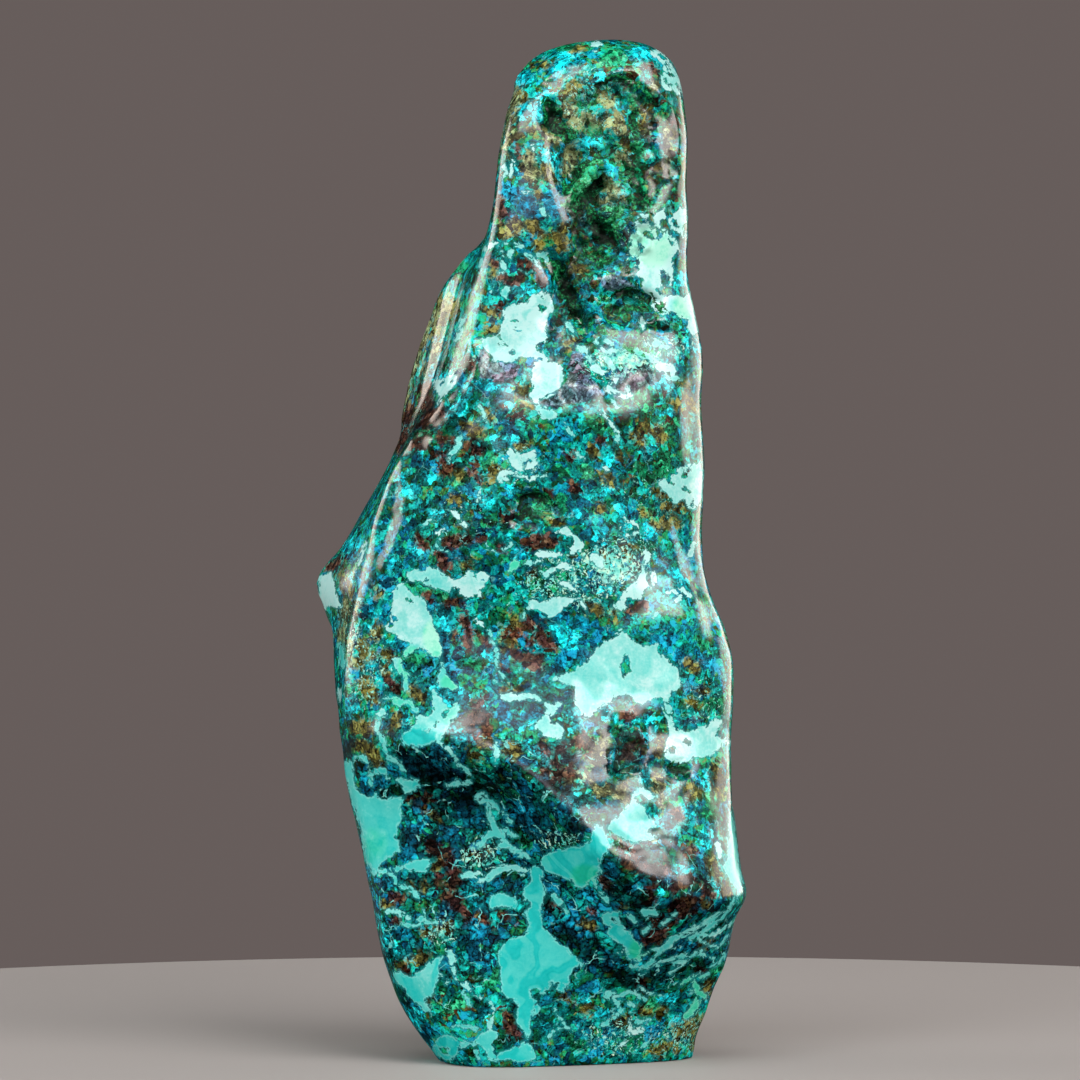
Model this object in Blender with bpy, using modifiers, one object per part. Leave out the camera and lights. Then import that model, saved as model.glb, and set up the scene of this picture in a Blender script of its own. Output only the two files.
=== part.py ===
"""A polished free-form chrysocolla stone that stands on a flat cut foot.

One solid. A coarse cage of rings is lofted through the lines that run up the stone. Its crisp ridges and ledges
are creased, and a Subdivision Surface rounds it. Named swellings, dishes, grooves and broken hollows are then
carved into the surface, the faces are thinned out where it is flat, and a slab cuts the foot.
Seen from the front (looking along +Y), +X is to the right and +Z is up. Numbers are in millimetres and become
Blender's metres in mm().
"""

import math

import bmesh
import bpy
import numpy as np
from mathutils import Vector, noise

STONE_NAME = "chrysocolla_stone"
COLLECTION_NAME = "chrysocolla_specimen"
CUTTER_COLLECTION_NAME = "cutters"

# The lines that run up the stone, in the order in which a ring meets them: counter-clockwise seen from above,
# starting at the ridge between the front and the left face.
LINES = (
    "front_left_ridge",
    "front_left",
    "front_middle",
    "front_right",
    "front_right_ridge",
    "right_edge",
    "back_right",
    "back_middle_right",
    "back_middle_left",
    "back_left",
    "left_corner",
    "left_face",
)

# Each ring: its height, then the point where it meets each line, as (x, y) at the ring's height or as
# (x, y, z) where the ring dips, as it does on the right to follow the ledge under the knob.
RINGS = (
    (-1.5, (-25, -13), (-19, -19), (-8, -19), (7, -14), (21, -7), (27, 1),
     (24, 10), (11, 18), (-6, 20), (-19, 15), (-25, 6), (-27, -4)),
    (2.5, (-29.5, -15), (-22, -22.5), (-9, -22.5), (8, -17), (24, -9), (31.5, 1),
     (27, 12), (12, 21), (-7, 23), (-22, 18), (-29, 7), (-32.5, -4)),
    (12, (-36.5, -16), (-25, -24), (-10, -24), (9, -19.5, 10), (30, -8.5, 9), (34, 0.5, 10),
     (30, 13), (13, 23), (-8, 26), (-26, 20), (-35, 8), (-39.5, -4)),
    (26, (-42.5, -17), (-28, -25), (-11, -26), (10, -21.5, 18), (32.5, -10.5, 15), (36, 0, 19),
     (33, 13, 20), (14, 25), (-10, 28), (-30, 21), (-40, 8), (-45, -4)),
    (40, (-45.5, -17), (-30, -25), (-11, -26, 37), (12, -25.5, 25), (35.5, -13, 22), (38.5, -0.5, 26),
     (35, 14, 32), (15, 27), (-11, 29), (-32, 22), (-43, 8), (-48, -4)),
    (54, (-48.3, -16), (-32, -25), (-11, -27, 50), (13.5, -31, 33), (37.2, -17, 29.5), (40, -1.5, 32),
     (36.5, 15, 44), (15, 28), (-12, 31), (-35, 23), (-47, 8), (-50.8, -4)),
    (66, (-50.5, -17), (-33, -27), (-11, -31.5, 62), (14.5, -37, 40), (38.3, -20.5, 35.5), (41, -3, 37.5),
     (37, 15, 54), (14, 29), (-13, 32), (-37, 24), (-50, 8), (-53.6, -5)),
    (77, (-52, -18.5), (-34, -33.5), (-11, -38.5, 72), (15.5, -41.5, 47), (40.7, -24, 41), (43.3, -4, 43.5),
     (38, 14, 62), (14, 30), (-14, 33), (-39, 25), (-53, 8), (-55.0, -6)),
    (90, (-53, -18), (-34, -30.5, 88), (-10, -34.5, 83), (15.5, -38, 60), (38.5, -22, 55), (40.1, -4, 58),
     (37, 16, 75), (14, 31), (-15, 34), (-41, 26), (-54.5, 9), (-56.1, -5)),
    (104, (-52, -17), (-33, -28.7, 103), (-9, -31.2, 99), (15.5, -31.5, 79), (37.6, -18.5, 76), (39.3, -3.5, 80),
     (36, 17, 92), (13, 31), (-15, 34), (-41, 27), (-56.4, 9), (-55.6, -4)),
    (110, (-50.5, -18), (-32, -28.3), (-8.5, -30.6), (15, -29.2, 101), (37.3, -16.5, 98), (39.7, -3, 98),
     (34, 17, 104), (12.5, 30.5, 108), (-15, 33.5), (-40.5, 27), (-59.2, 9.5), (-56, -4.5)),
    (117, (-48.5, -19), (-30, -28.5), (-8, -30.5), (14.5, -28.3, 113), (34, -15.5, 111), (35.8, -2.5, 110),
     (31.5, 17, 114), (12, 30), (-15, 33), (-40, 27), (-61.4, 10), (-56, -5)),
    (124, (-47, -18.5), (-29, -28.5), (-7.5, -30), (14, -27.5, 122), (31.6, -15, 121), (32.8, -1.5, 120),
     (30, 16.5), (11.5, 29), (-14.5, 32), (-38.5, 26.5), (-56, 11), (-53.5, -4)),
    (132, (-46, -18), (-28, -28), (-7, -30), (14, -27), (31.6, -14.5), (32.8, -1),
     (29, 16), (11, 28), (-14, 31), (-37, 26), (-51, 12), (-50, -3)),
    (148, (-40, -18), (-24, -26.5), (-5, -29), (15, -26.5), (32, -13.5), (33.2, 0),
     (29, 15), (11, 26), (-11, 29), (-31, 25), (-42.1, 14), (-41.5, -2)),
    (156, (-32, -20), (-19, -26), (-3, -29), (15.5, -26.5), (31.4, -13), (32.5, 0),
     (28.5, 14.5), (11.5, 25), (-9.5, 27.5), (-28.5, 23.5), (-40.3, 12.5), (-38.5, -4)),
    (163, (-27.5, -21), (-15, -25), (0, -27.5), (16, -25), (31.2, -12.5), (32.3, 0),
     (28, 14), (12, 24), (-8, 26), (-26, 22), (-39.2, 11), (-35, -5)),
    (172, (-24, -20.5), (-13, -22.5), (1, -23), (16, -21.5), (31.5, -12), (32.6, 0),
     (28, 13), (12, 22.5), (-6.5, 24), (-23.5, 20), (-37, 10), (-32, -5)),
    (182, (-21.5, -20), (-11, -21.5), (2, -21.5), (16, -19.5), (29.7, -11), (30.8, 0),
     (27, 12), (12, 21), (-5, 22), (-21, 18), (-33.5, 9), (-29, -5)),
    (192, (-19.5, -19.5), (-9.5, -20.5), (3, -20.5), (16, -18.5), (28.1, -10.5), (29, 0),
     (26, 11.5), (12, 19.5), (-3.5, 20), (-17.5, 16), (-29, 8), (-25, -5.5)),
    (202, (-17.8, -18.5), (-8, -20), (4, -20), (16, -18), (28.3, -10), (29.1, 0),
     (25, 11), (12, 18), (-2, 18), (-13, 13.5), (-18.8, 7), (-18.8, -6)),
    (216, (-16, -16), (-7, -19), (5, -19.5), (17, -18), (27.9, -9.5), (28.7, 0),
     (26, 10), (14, 16), (2, 16), (-9, 12), (-15.5, 5), (-16.5, -6)),
    (227, (-14.2, -13.5), (-6.5, -17.5), (6, -18.5), (17, -17), (28.2, -8.5), (29.2, 0),
     (26.5, 9.5), (15, 14.5), (3, 14.5), (-7.5, 10.5), (-13.2, 4.5), (-14.7, -5)),
    (241, (-11, -9, 236.5), (-3.5, -13.5, 239.5), (6, -14.5, 242), (15.5, -13, 244.3), (23.5, -8, 242),
     (28.2, 1, 240), (24, 8.5, 240), (14, 11.5), (4, 11.5), (-4, 8.5, 239), (-10, 3, 237), (-12.3, -4, 236.5)),
    (248.2, (-4, -3, 246.5), (0, -6, 247.3), (7, -7), (14, -6, 248.7), (19, -3, 248), (21.5, 1, 247.3),
     (18.5, 5, 247.5), (12, 6.5), (5, 6.5), (0, 5, 248), (-4, 2, 247), (-6.2, -1, 246.3)),
)

# Ridges that stay crisp: the line, the first and last ring that it creases, and how sharply (0 to 1).
CRISP_LINES = (
    ("front_left_ridge", 2, 10, 0.5),
    ("front_left_ridge", 10, 16, 0.6),
    ("front_left_ridge", 16, 22, 0.15),
    ("front_right_ridge", 8, 21, 0.1),
    ("left_corner", 9, 20, 0.6),
    ("right_edge", 6, 9, 0.4),
)
# Ledges that stay crisp: the ring, the first and last line that it creases, and how sharply.
CRISP_LEDGES = (
    (7, "front_left_ridge", "right_edge", 0.35),
    (23, "front_left_ridge", "front_right_ridge", 0.5),
)

SUBDIVISION_LEVELS = 4
CAGE_PUSHES = 3
FACE_BUDGET = 9300

# A side is seen along one axis: the two axes across it and the direction that it faces.
SIDES = {
    "front": (0, 2, (0, -1, 0)),
    "back": (0, 2, (0, 1, 0)),
    "left": (1, 2, (-1, 0, 0)),
    "right": (1, 2, (1, 0, 0)),
}

# Swellings (positive height) and dishes (negative): the side, the centre across and up, the half-sizes across
# and up, the tilt in degrees and the height.
SWELLS = (
    ("front", (11.4, 221), (17, 19), 0, -2.2),        # the broken hollow in the crown
    ("front", (7.0, 203), (8, 15), -14, -1.6),        # its tongue, which runs down to the neck
    ("front", (-3.3, 230.2), (3.4, 4.2), 0, -2.4),
    ("front", (1.3, 228.3), (3.6, 4.4), 0, 1.4),
    ("front", (8.7, 232), (3.4, 2.6), 0, 1.3),
    ("front", (11.1, 226.9), (2.9, 3.8), 0, 1.6),
    ("front", (12.8, 235.5), (5.2, 2.5), 0, -1.9),
    ("front", (12.3, 212.2), (5, 6.4), 8, 2.0),
    ("front", (22.4, 223), (3.6, 8), 0, 0.8),
    ("front", (12.8, 189.9), (6.4, 4), 10, 1.5),      # the shoulder facet over the neck's pocket
    ("front", (15.2, 182.4), (6.4, 3.0), 4, -2.6),    # the pocket
    ("front", (22.4, 180), (4, 3.2), 0, 1.0),
    ("front", (3.9, 164.6), (6.4, 4.8), 0, 1.3),
    ("front", (15.7, 167.3), (5.4, 4.8), 0, 1.2),
    ("front", (-16.5, 168.2), (6.5, 5), 0, 0.7),
    ("front", (-8.1, 134.6), (3.9, 3.3), 0, -1.4),    # the pit in the middle of the front
    ("front", (-42.6, 131.7), (3.6, 14.5), -12, -0.7),
    ("front", (26.5, 108), (11, 10), 30, 1.2),
    ("front", (14.6, 76.9), (3.8, 5.6), 0, -1.3),     # the brown pit above the knob
    ("front", (7.3, 70.4), (5, 5), 0, -0.8),
    ("front", (21.4, 71.6), (5, 6.5), 0, -0.7),
    ("front", (17.6, 59.5), (6.5, 4.5), 0, -0.6),
    ("front", (-24.0, 60.0), (15, 12), 0, -1.6),
    ("front", (-24.0, 36.0), (13, 11), 0, 1.0),
    ("front", (3.0, 20.0), (13, 12), 0, 1.0),
    ("left", (-4, 170), (9, 30), 0, -1.6),            # the scooped left face
    ("left", (0, 60), (11, 30), 0, -1.0),
    ("right", (8, 148), (9, 26), 0, -1.5),
    ("right", (5, 75), (9, 18), 0, -1.0),
    ("back", (6, 122), (21, 30), 8, -2.6),
    ("back", (-21, 64), (17, 24), -10, -2.2),
    ("back", (14, 44), (13, 15), 0, 1.6),
    ("back", (4, 214), (12, 17), 0, -1.4),
    ("back", (-6, 170), (8, 6.5), 20, -3.4),          # the broken pocket in the back
    ("back", (-24, 104), (3.6, 4.4), 0, -2.2),
)

# Ridges (positive height) and grooves (negative): the side, the points across and up, the half-width and the
# height.
FLUTES = (
    ("front", ((3.9, 225.4), (0.8, 218.2), (-0.2, 212.2), (2.7, 205.7)), 2.8, -2.2),
    ("front", ((8.5, 218.2), (4.4, 214.6), (0.8, 210.5)), 2.3, 1.7),
    ("front", ((8.0, 213.4), (6.1, 207.4)), 3.0, -0.8),
    ("front", ((15.2, 217), (17.6, 211), (14, 205), (9.2, 199), (8, 193.7)), 3.1, -2.5),
    ("front", ((-4.5, 195.4), (-1.6, 189.4), (0.8, 183.4), (4.4, 177.4)), 2.8, -2.6),   # the neck's crack
    ("front", ((8.5, 187.4), (16.0, 185.2), (20.5, 183.0)), 1.8, -1.2),
    ("front", ((-2.8, 169), (-1.6, 160.5)), 2.2, -1.0),
    ("front", ((9.2, 170.2), (9.7, 161.7)), 2.2, -1.0),
    ("front", ((-21.3, 172.6), (-21.3, 166.6), (-24.4, 159.3), (-28.5, 154.5), (-32.1, 150.4)), 2.6, 1.1),
    ("front", ((27.4, 129.3), (29.6, 122.1), (33.0, 112.5), (35.2, 106.5)), 2.6, -0.7),
    ("front", ((30.3, 161.7), (30.6, 147.3)), 2.4, -0.5),
    ("front", ((10.4, 57.2), (15.2, 54.1), (24.4, 55.3)), 1.5, -0.7),
    ("front", ((-43.9, 46), (-43.6, 28)), 2.2, 0.8),
    ("front", ((-16.7, 78), (-16.7, 70)), 1.6, 0.6),
    ("left", ((2, 196), (0, 176), (-3, 150)), 3.4, 0.9),
    ("back", ((10, 196), (2, 150), (-9, 112), (-12, 84)), 6.5, 1.6),
    ("back", ((16, 92), (6, 66), (9, 46)), 2.4, -1.6),
)

# Hollows whose walls are broken stone, not polished: the side, the centre, the half-sizes, the tilt, the depth,
# the size of the broken facets and how far these tip in and out.
BROKEN = (
    ("front", (11.4, 221.5), (16.5, 17), 0, 2.8, 5.5, 3.4),    # the crown's hollow
    ("front", (7.0, 203), (7.5, 13), -14, 2.0, 4.5, 2.6),      # its tongue towards the neck
    ("front", (0, 186.5), (4.2, 12), -25, 1.2, 3.5, 2.0),      # the neck's crack
    ("front", (15.2, 182.4), (6.6, 3.4), 3, 2.2, 3.5, 2.2),    # the pocket beside it
    ("front", (-8.1, 134.6), (4.0, 3.6), 0, 1.4, 3.0, 1.4),
    ("front", (14.6, 76.9), (3.9, 5.8), 0, 1.2, 2.8, 1.5),
    ("back", (-6, 170), (8, 6.5), 20, 2.4, 4.0, 2.2),
)
# How far the rim of a broken hollow strays from its oval, and over what length.
RIM_STRAY = 3.2
RIM_LENGTH = 7.0
RIM_STEEPNESS = 3.0

# Slow waviness that hand polishing leaves on every side.
WAVE_LENGTH = 24.0
WAVE_HEIGHT = 0.7

STONE_COLOUR = (0.02, 0.26, 0.29, 1.0)
STONE_ROUGHNESS = 0.18
CUTTER_SIZE = (200, 200, 20)


def mm(*values):
    """Millimetres as Blender's metres."""
    return [value * 0.001 for value in values]


def clear_scene():
    for obj in list(bpy.data.objects):
        bpy.data.objects.remove(obj, do_unlink=True)


def new_collection(name):
    collection = bpy.data.collections.new(name)
    bpy.context.scene.collection.children.link(collection)
    return collection


def stone_material():
    material = bpy.data.materials.new("polished_chrysocolla")
    material.use_nodes = True
    shader = material.node_tree.nodes["Principled BSDF"]
    shader.inputs["Base Color"].default_value = STONE_COLOUR
    shader.inputs["Roughness"].default_value = STONE_ROUGHNESS
    shader.inputs["Metallic"].default_value = 0.0
    return material


def ring_point(point, height):
    """A ring's point as (x, y, z): a point that names no height of its own lies at the ring's."""
    return mm(*point) if len(point) == 3 else mm(*point, height)


def lofted_cage():
    """A closed mesh of rings, each joined to the next by quads, with one face at each end."""
    cage = bmesh.new()
    rings = [[cage.verts.new(ring_point(point, height)) for point in points] for height, *points in RINGS]
    around = len(LINES)
    for lower, upper in zip(rings, rings[1:]):
        for i in range(around):
            j = (i + 1) % around
            cage.faces.new((lower[i], lower[j], upper[j], upper[i]))
    cage.faces.new(reversed(rings[0]))
    cage.faces.new(rings[-1])
    crease_ridges(cage, rings)
    return cage


def crease_ridges(cage, rings):
    """Marks the edges along the crisp ridges and ledges, so that the subdivision keeps them."""
    crease = cage.edges.layers.float.new("crease_edge")
    for name, first, last, sharpness in CRISP_LINES:
        column = LINES.index(name)
        for lower, upper in zip(rings[first:last], rings[first + 1 : last + 1]):
            cage.edges.get((lower[column], upper[column]))[crease] = sharpness
    for ring, first, last, sharpness in CRISP_LEDGES:
        for column in range(LINES.index(first), LINES.index(last)):
            cage.edges.get((rings[ring][column], rings[ring][column + 1]))[crease] = sharpness


def vertex_places(mesh):
    """The mesh's vertices as an array of (x, y, z) rows."""
    places = np.empty(len(mesh.vertices) * 3)
    mesh.vertices.foreach_get("co", places)
    return places.reshape(-1, 3)


def place_vertices(mesh, places):
    mesh.vertices.foreach_set("co", places.ravel())
    mesh.update()


def subdivided(body):
    """A plain mesh of the body as its Subdivision Surface rounds it."""
    graph = bpy.context.evaluated_depsgraph_get()
    graph.update()
    return bpy.data.meshes.new_from_object(body.evaluated_get(graph))


def smooth_body(collection):
    """The cage under a Subdivision Surface, made into a plain mesh that can be carved.

    Subdivision pulls a surface inside its cage, so the cage is pushed out a few times by what is still
    missing, until the rounded surface passes through the points of RINGS.
    """
    cage = lofted_cage()
    mesh = bpy.data.meshes.new("cage")
    cage.to_mesh(mesh)
    cage.free()
    body = bpy.data.objects.new("cage", mesh)
    collection.objects.link(body)
    subdivision = body.modifiers.new("round", "SUBSURF")
    subdivision.levels = SUBDIVISION_LEVELS
    subdivision.render_levels = SUBDIVISION_LEVELS
    wanted = vertex_places(mesh)
    smooth = subdivided(body)
    for _ in range(CAGE_PUSHES):
        missing = wanted - vertex_places(smooth)[: len(wanted)]
        place_vertices(mesh, vertex_places(mesh) + missing)
        bpy.data.meshes.remove(smooth)
        smooth = subdivided(body)
    bpy.data.objects.remove(body)
    return smooth


def facing(normals, side):
    """0 for a surface turned away from the side to 1 for one that looks straight out of it."""
    towards = normals @ np.array(SIDES[side][2], float)
    return np.clip(towards / 0.5, 0, 1)


def seen_from(places, side):
    """The places as the two millimetre coordinates across and up that the side's features are given in."""
    across, up, _ = SIDES[side]
    return places[:, (across, up)] * 1000


def inside_oval(flat, centre, half, tilt):
    """1 at the oval's centre, falling smoothly to 0 at its edge."""
    away = flat - np.array(centre, float)
    turn = math.radians(tilt)
    across = away[:, 0] * math.cos(turn) + away[:, 1] * math.sin(turn)
    up = away[:, 1] * math.cos(turn) - away[:, 0] * math.sin(turn)
    reach = (across / half[0]) ** 2 + (up / half[1]) ** 2
    return np.clip(1 - reach, 0, 1)


def near_path(flat, points, half_width):
    """1 on the path through the points, falling smoothly to 0 at its half-width."""
    nearest = np.full(len(flat), np.inf)
    for start, end in zip(points, points[1:]):
        start = np.array(start, float)
        run = np.array(end, float) - start
        share = np.clip((flat - start) @ run / (run @ run), 0, 1)
        nearest = np.minimum(nearest, np.linalg.norm(flat - start - share[:, None] * run, axis=1))
    return np.clip(1 - (nearest / half_width) ** 2, 0, 1)


def broken_facets(place, size):
    """How far a broken surface stands out at a place: flat facets of about the given size, tipped at random."""
    spot = Vector(place) * 1000 / size
    _, cells = noise.voronoi(spot)
    tip = noise.cell_vector(cells[0] * 9.7) - Vector((0.5, 0.5, 0.5))
    return (spot - cells[0]).dot(tip)


def rim_stray(places):
    """How far each place is shifted before it is tested against a broken hollow's oval, so that rims wander."""
    return np.array([noise.noise_vector(Vector(place) * 1000 / RIM_LENGTH) for place in places]) * RIM_STRAY * 0.001


def carve(mesh):
    """Moves each vertex along its normal by the features that reach it and by the slow waviness."""
    places = vertex_places(mesh)
    normals = np.empty(places.size)
    mesh.vertices.foreach_get("normal", normals)
    normals = normals.reshape(-1, 3)
    height = np.array([WAVE_HEIGHT * noise.noise(Vector(place) * 1000 / WAVE_LENGTH) for place in places])
    for side, centre, half, tilt, rise in SWELLS:
        height += rise * facing(normals, side) * inside_oval(seen_from(places, side), centre, half, tilt) ** 1.5
    for side, points, half_width, rise in FLUTES:
        height += rise * facing(normals, side) * near_path(seen_from(places, side), points, half_width) ** 1.5
    strayed = places + rim_stray(places)
    for side, centre, half, tilt, depth, size, tip in BROKEN:
        share = facing(normals, side) * inside_oval(seen_from(strayed, side), centre, half, tilt)
        share = np.clip(share * RIM_STEEPNESS, 0, 1)
        for i in np.flatnonzero(share):
            height[i] += share[i] * (tip * broken_facets(places[i], size) - depth)
    place_vertices(mesh, places + normals * height[:, None] * 0.001)


def foot_cutter(collection):
    """A slab under the ground plane that cuts the foot flat."""
    bpy.ops.mesh.primitive_cube_add(size=1)
    cutter = bpy.context.object
    cutter.name = "foot_cutter"
    cutter.scale = mm(*CUTTER_SIZE)
    cutter.location = mm(0, 0, -CUTTER_SIZE[2] / 2)
    cutter.display_type = "WIRE"
    cutter.hide_render = True
    for home in list(cutter.users_collection):
        home.objects.unlink(cutter)
    collection.objects.link(cutter)
    return cutter


def make_stone(collection, cutters):
    mesh = smooth_body(collection)
    carve(mesh)
    mesh.name = STONE_NAME
    stone = bpy.data.objects.new(STONE_NAME, mesh)
    collection.objects.link(stone)
    thin_out = stone.modifiers.new("fewer_faces", "DECIMATE")
    thin_out.ratio = FACE_BUDGET / (2 * len(mesh.polygons))
    flat_foot = stone.modifiers.new("flat_foot", "BOOLEAN")
    flat_foot.operation = "DIFFERENCE"
    flat_foot.object = foot_cutter(cutters)
    mesh.materials.append(stone_material())
    mesh.shade_smooth()
    return stone


def main():
    clear_scene()
    stones = new_collection(COLLECTION_NAME)
    cutters = new_collection(CUTTER_COLLECTION_NAME)
    make_stone(stones, cutters)


main()
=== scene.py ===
# %% [markdown]
# # A polished chrysocolla stone
#
# The object is one piece of copper ore, ground and polished by hand into a free form and cut flat at the
# foot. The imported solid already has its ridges, its ledges and its broken hollows. This lesson puts a fine
# skin over that solid, stores the mineral pattern on the skin as a set of *fields*, and lets one node
# material turn the fields into turquoise, teal, malachite green, ochre and red-brown.
#
# Everything is in metres in Blender. Lengths that a stone cutter would say in millimetres are multiplied by
# `MM` once, where they meet Blender.

import math

import bpy
import numpy as np
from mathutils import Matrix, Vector, noise


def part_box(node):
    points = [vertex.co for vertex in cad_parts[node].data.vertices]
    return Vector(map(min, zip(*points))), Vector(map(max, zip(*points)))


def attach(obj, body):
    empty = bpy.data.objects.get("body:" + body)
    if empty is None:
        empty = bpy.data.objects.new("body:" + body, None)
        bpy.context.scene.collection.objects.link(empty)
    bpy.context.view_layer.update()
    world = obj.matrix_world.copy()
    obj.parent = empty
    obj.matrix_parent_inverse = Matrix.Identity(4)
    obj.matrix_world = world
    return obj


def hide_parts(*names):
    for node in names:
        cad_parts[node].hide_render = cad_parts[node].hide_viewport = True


MM = 0.001

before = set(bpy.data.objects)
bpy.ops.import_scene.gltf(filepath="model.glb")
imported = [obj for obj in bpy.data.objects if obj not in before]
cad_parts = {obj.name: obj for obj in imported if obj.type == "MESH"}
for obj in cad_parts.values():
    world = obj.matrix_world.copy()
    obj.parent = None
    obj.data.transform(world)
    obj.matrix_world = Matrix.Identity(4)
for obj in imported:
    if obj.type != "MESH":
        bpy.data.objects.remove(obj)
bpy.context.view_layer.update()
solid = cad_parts["chrysocolla_stone"]
stone_low, stone_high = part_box("chrysocolla_stone")
print("stone, mm:", [round(side / MM, 1) for side in stone_high - stone_low])

# %% [markdown]
# ## The camera comes first
#
# A stone like this looks best from its own height through a long lens, so that it doesn't taper. The camera
# looks level along +Y, 1.3 m in front of the stone. `FRAME_SIDE` counts the frame's width and height, and
# `FRAME_STEP` is the width of one such step on the stone's middle plane. Knowing both lets us later say
# where a mark sits *as seen from the front*.

# %% Make the camera
FRAME_SIDE = 1080
FRAME_STEP = 0.245 * MM
CAMERA_AWAY = 1.3
SENSOR = 36.0
STONE_AXIS_ACROSS = 566
GROUND_DOWN = 1058

camera_data = bpy.data.cameras.new("camera")
camera_data.sensor_width = SENSOR
camera_data.lens = SENSOR * CAMERA_AWAY / (FRAME_SIDE * FRAME_STEP)
camera = bpy.data.objects.new("camera", camera_data)
camera.location = (
    (FRAME_SIDE / 2 - STONE_AXIS_ACROSS) * FRAME_STEP,
    -CAMERA_AWAY,
    (GROUND_DOWN - FRAME_SIDE / 2) * FRAME_STEP,
)
camera.rotation_euler = (math.pi / 2, 0, 0)
bpy.context.scene.collection.objects.link(camera)
bpy.context.scene.camera = camera
print("lens, mm:", round(camera_data.lens, 1))

# %% [markdown]
# ## A fine skin for the solid
#
# The solid has about nine thousand flat faces, which is right for collision but too coarse for a mirror
# polish. A voxel Remesh gives the same shape an even net of small faces. The facets of the solid still show
# in it, and smoothing will take them out further on.

# %% Helpers that read and move a mesh's vertices
def read_vertices(mesh, what="co"):
    """The vertices' places or normals as an array of rows."""
    values = np.empty(len(mesh.vertices) * 3)
    mesh.vertices.foreach_get(what, values)
    return values.reshape(-1, 3)


def write_vertices(mesh, places):
    """Moves the vertices to new places."""
    mesh.vertices.foreach_set("co", places.ravel())
    mesh.update()


def ramp_up(values, low, high):
    """0 below low, 1 above high and a smooth rise between."""
    share = np.clip((values - low) / (high - low), 0, 1)
    return share * share * (3 - 2 * share)


# %% Remesh a copy of the solid
SKIN_GRAIN = 0.75 * MM

skin = bpy.data.objects.new("polished_skin", solid.data.copy())
bpy.context.scene.collection.objects.link(skin)
remesh = skin.modifiers.new("even_net", "REMESH")
remesh.mode = "VOXEL"
remesh.voxel_size = SKIN_GRAIN
depsgraph = bpy.context.evaluated_depsgraph_get()
fine_mesh = bpy.data.meshes.new_from_object(skin.evaluated_get(depsgraph))
skin.modifiers.clear()
skin.data = fine_mesh
fine_mesh.name = "polished_skin"
fine_mesh.materials.clear()
print("skin:", len(fine_mesh.vertices), "vertices,", len(fine_mesh.polygons), "faces")

# %% [markdown]
# ## Where each vertex is seen from the front
#
# For every vertex we work out its place in the camera's frame. Marks drawn on the front can then be laid on
# the skin by comparing two flat positions, however the surface bends underneath. `faces_front` tells how
# squarely a vertex looks at the camera: it is below zero on the back.

# %% Project the vertices into the camera's frame
def seen_from_front(places):
    """Each place as steps across and down the camera's frame."""
    away = places - np.array(camera.location)
    steps = CAMERA_AWAY / FRAME_STEP / away[:, 1:2]
    return np.hstack((FRAME_SIDE / 2 + away[:, :1] * steps, FRAME_SIDE / 2 - away[:, 2:] * steps))


def smoothed_over(values, edges, passes):
    """A field on the vertices, averaged with its neighbours' values a number of times."""
    first, second = edges.T
    share = 1 + np.bincount(edges.ravel(), minlength=len(values))
    for _ in range(passes):
        total = values + np.bincount(first, values[second], len(values))
        values = (total + np.bincount(second, values[first], len(values))) / share
    return values


edges = np.empty(len(fine_mesh.edges) * 2, np.int64)
fine_mesh.edges.foreach_get("vertices", edges)
edges = edges.reshape(-1, 2)
places = read_vertices(fine_mesh)
normals = read_vertices(fine_mesh, "normal")
on_frame = seen_from_front(places)
to_camera = np.array(camera.location) - places
to_camera /= np.linalg.norm(to_camera, axis=1, keepdims=True)
faces_front = smoothed_over((normals * to_camera).sum(axis=1), edges, 6)
print("front-facing share:", round(float((faces_front > 0).mean()), 2))

# %% [markdown]
# ## Marks as signed distances
#
# A mark's edge has to stay crisp however coarse the net is, so we don't store colours. For each vertex we
# store the distance to the mark's edge in millimetres, above zero inside. The material later cuts that
# distance field at zero and roughens the cut with noise, so edges are sharp and irregular like a mineral's.
#
# The front of the stone is a little nearer to the camera than its middle plane, so a step is `NEARER` times
# as long there. Marks fade out where the surface turns away from the camera.

# %% Helpers that measure marks
NEARER = 0.98
STEP_MM = FRAME_STEP / MM * NEARER
FAR_OUTSIDE = -6.0
REACH = 30
FRONT_FROM = -0.12
TURNS_AWAY = 0.08
TURN_FADE = 5.0
STROKE_SWELL = 1.1
STROKE_TAPER = 0.55
STROKE_WOBBLE = 0.45
NOISE_STRETCH = 1.6


def depth_in_polygon(flat, corners):
    """Distance to the outline of a polygon, positive inside it and negative outside."""
    nearest = np.full(len(flat), np.inf)
    inside = np.zeros(len(flat), bool)
    for (ax, ay), (bx, by) in zip(corners, corners[1:] + corners[:1]):
        run = np.array((bx - ax, by - ay), float)
        offset = flat - (ax, ay)
        share = np.clip(offset @ run / (run @ run), 0, 1)
        nearest = np.minimum(nearest, np.hypot(*(offset - share[:, None] * run).T))
        if ay != by:
            crosses = (ay > flat[:, 1]) != (by > flat[:, 1])
            inside ^= crosses & (flat[:, 0] < ax + (flat[:, 1] - ay) * (bx - ax) / (by - ay))
    return np.where(inside, nearest, -nearest)


def distance_to_path(spots, path):
    """Distance from each row of spots to a path of straight runs, and how far along the path that is."""
    path = np.array(path, float)
    nearest = np.linalg.norm(spots - path[0], axis=1)
    along = np.zeros(len(spots))
    walked = 0.0
    for start, end in zip(path, path[1:]):
        run = end - start
        share = np.clip((spots - start) @ run / max(run @ run, 1e-9), 0, 1)
        away = np.linalg.norm(spots - start - share[:, None] * run, axis=1)
        closer = away < nearest
        nearest[closer] = away[closer]
        length = np.linalg.norm(run)
        along[closer] = walked + share[closer] * length
        walked += length
    return nearest, along / max(walked, 1e-6)


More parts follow.
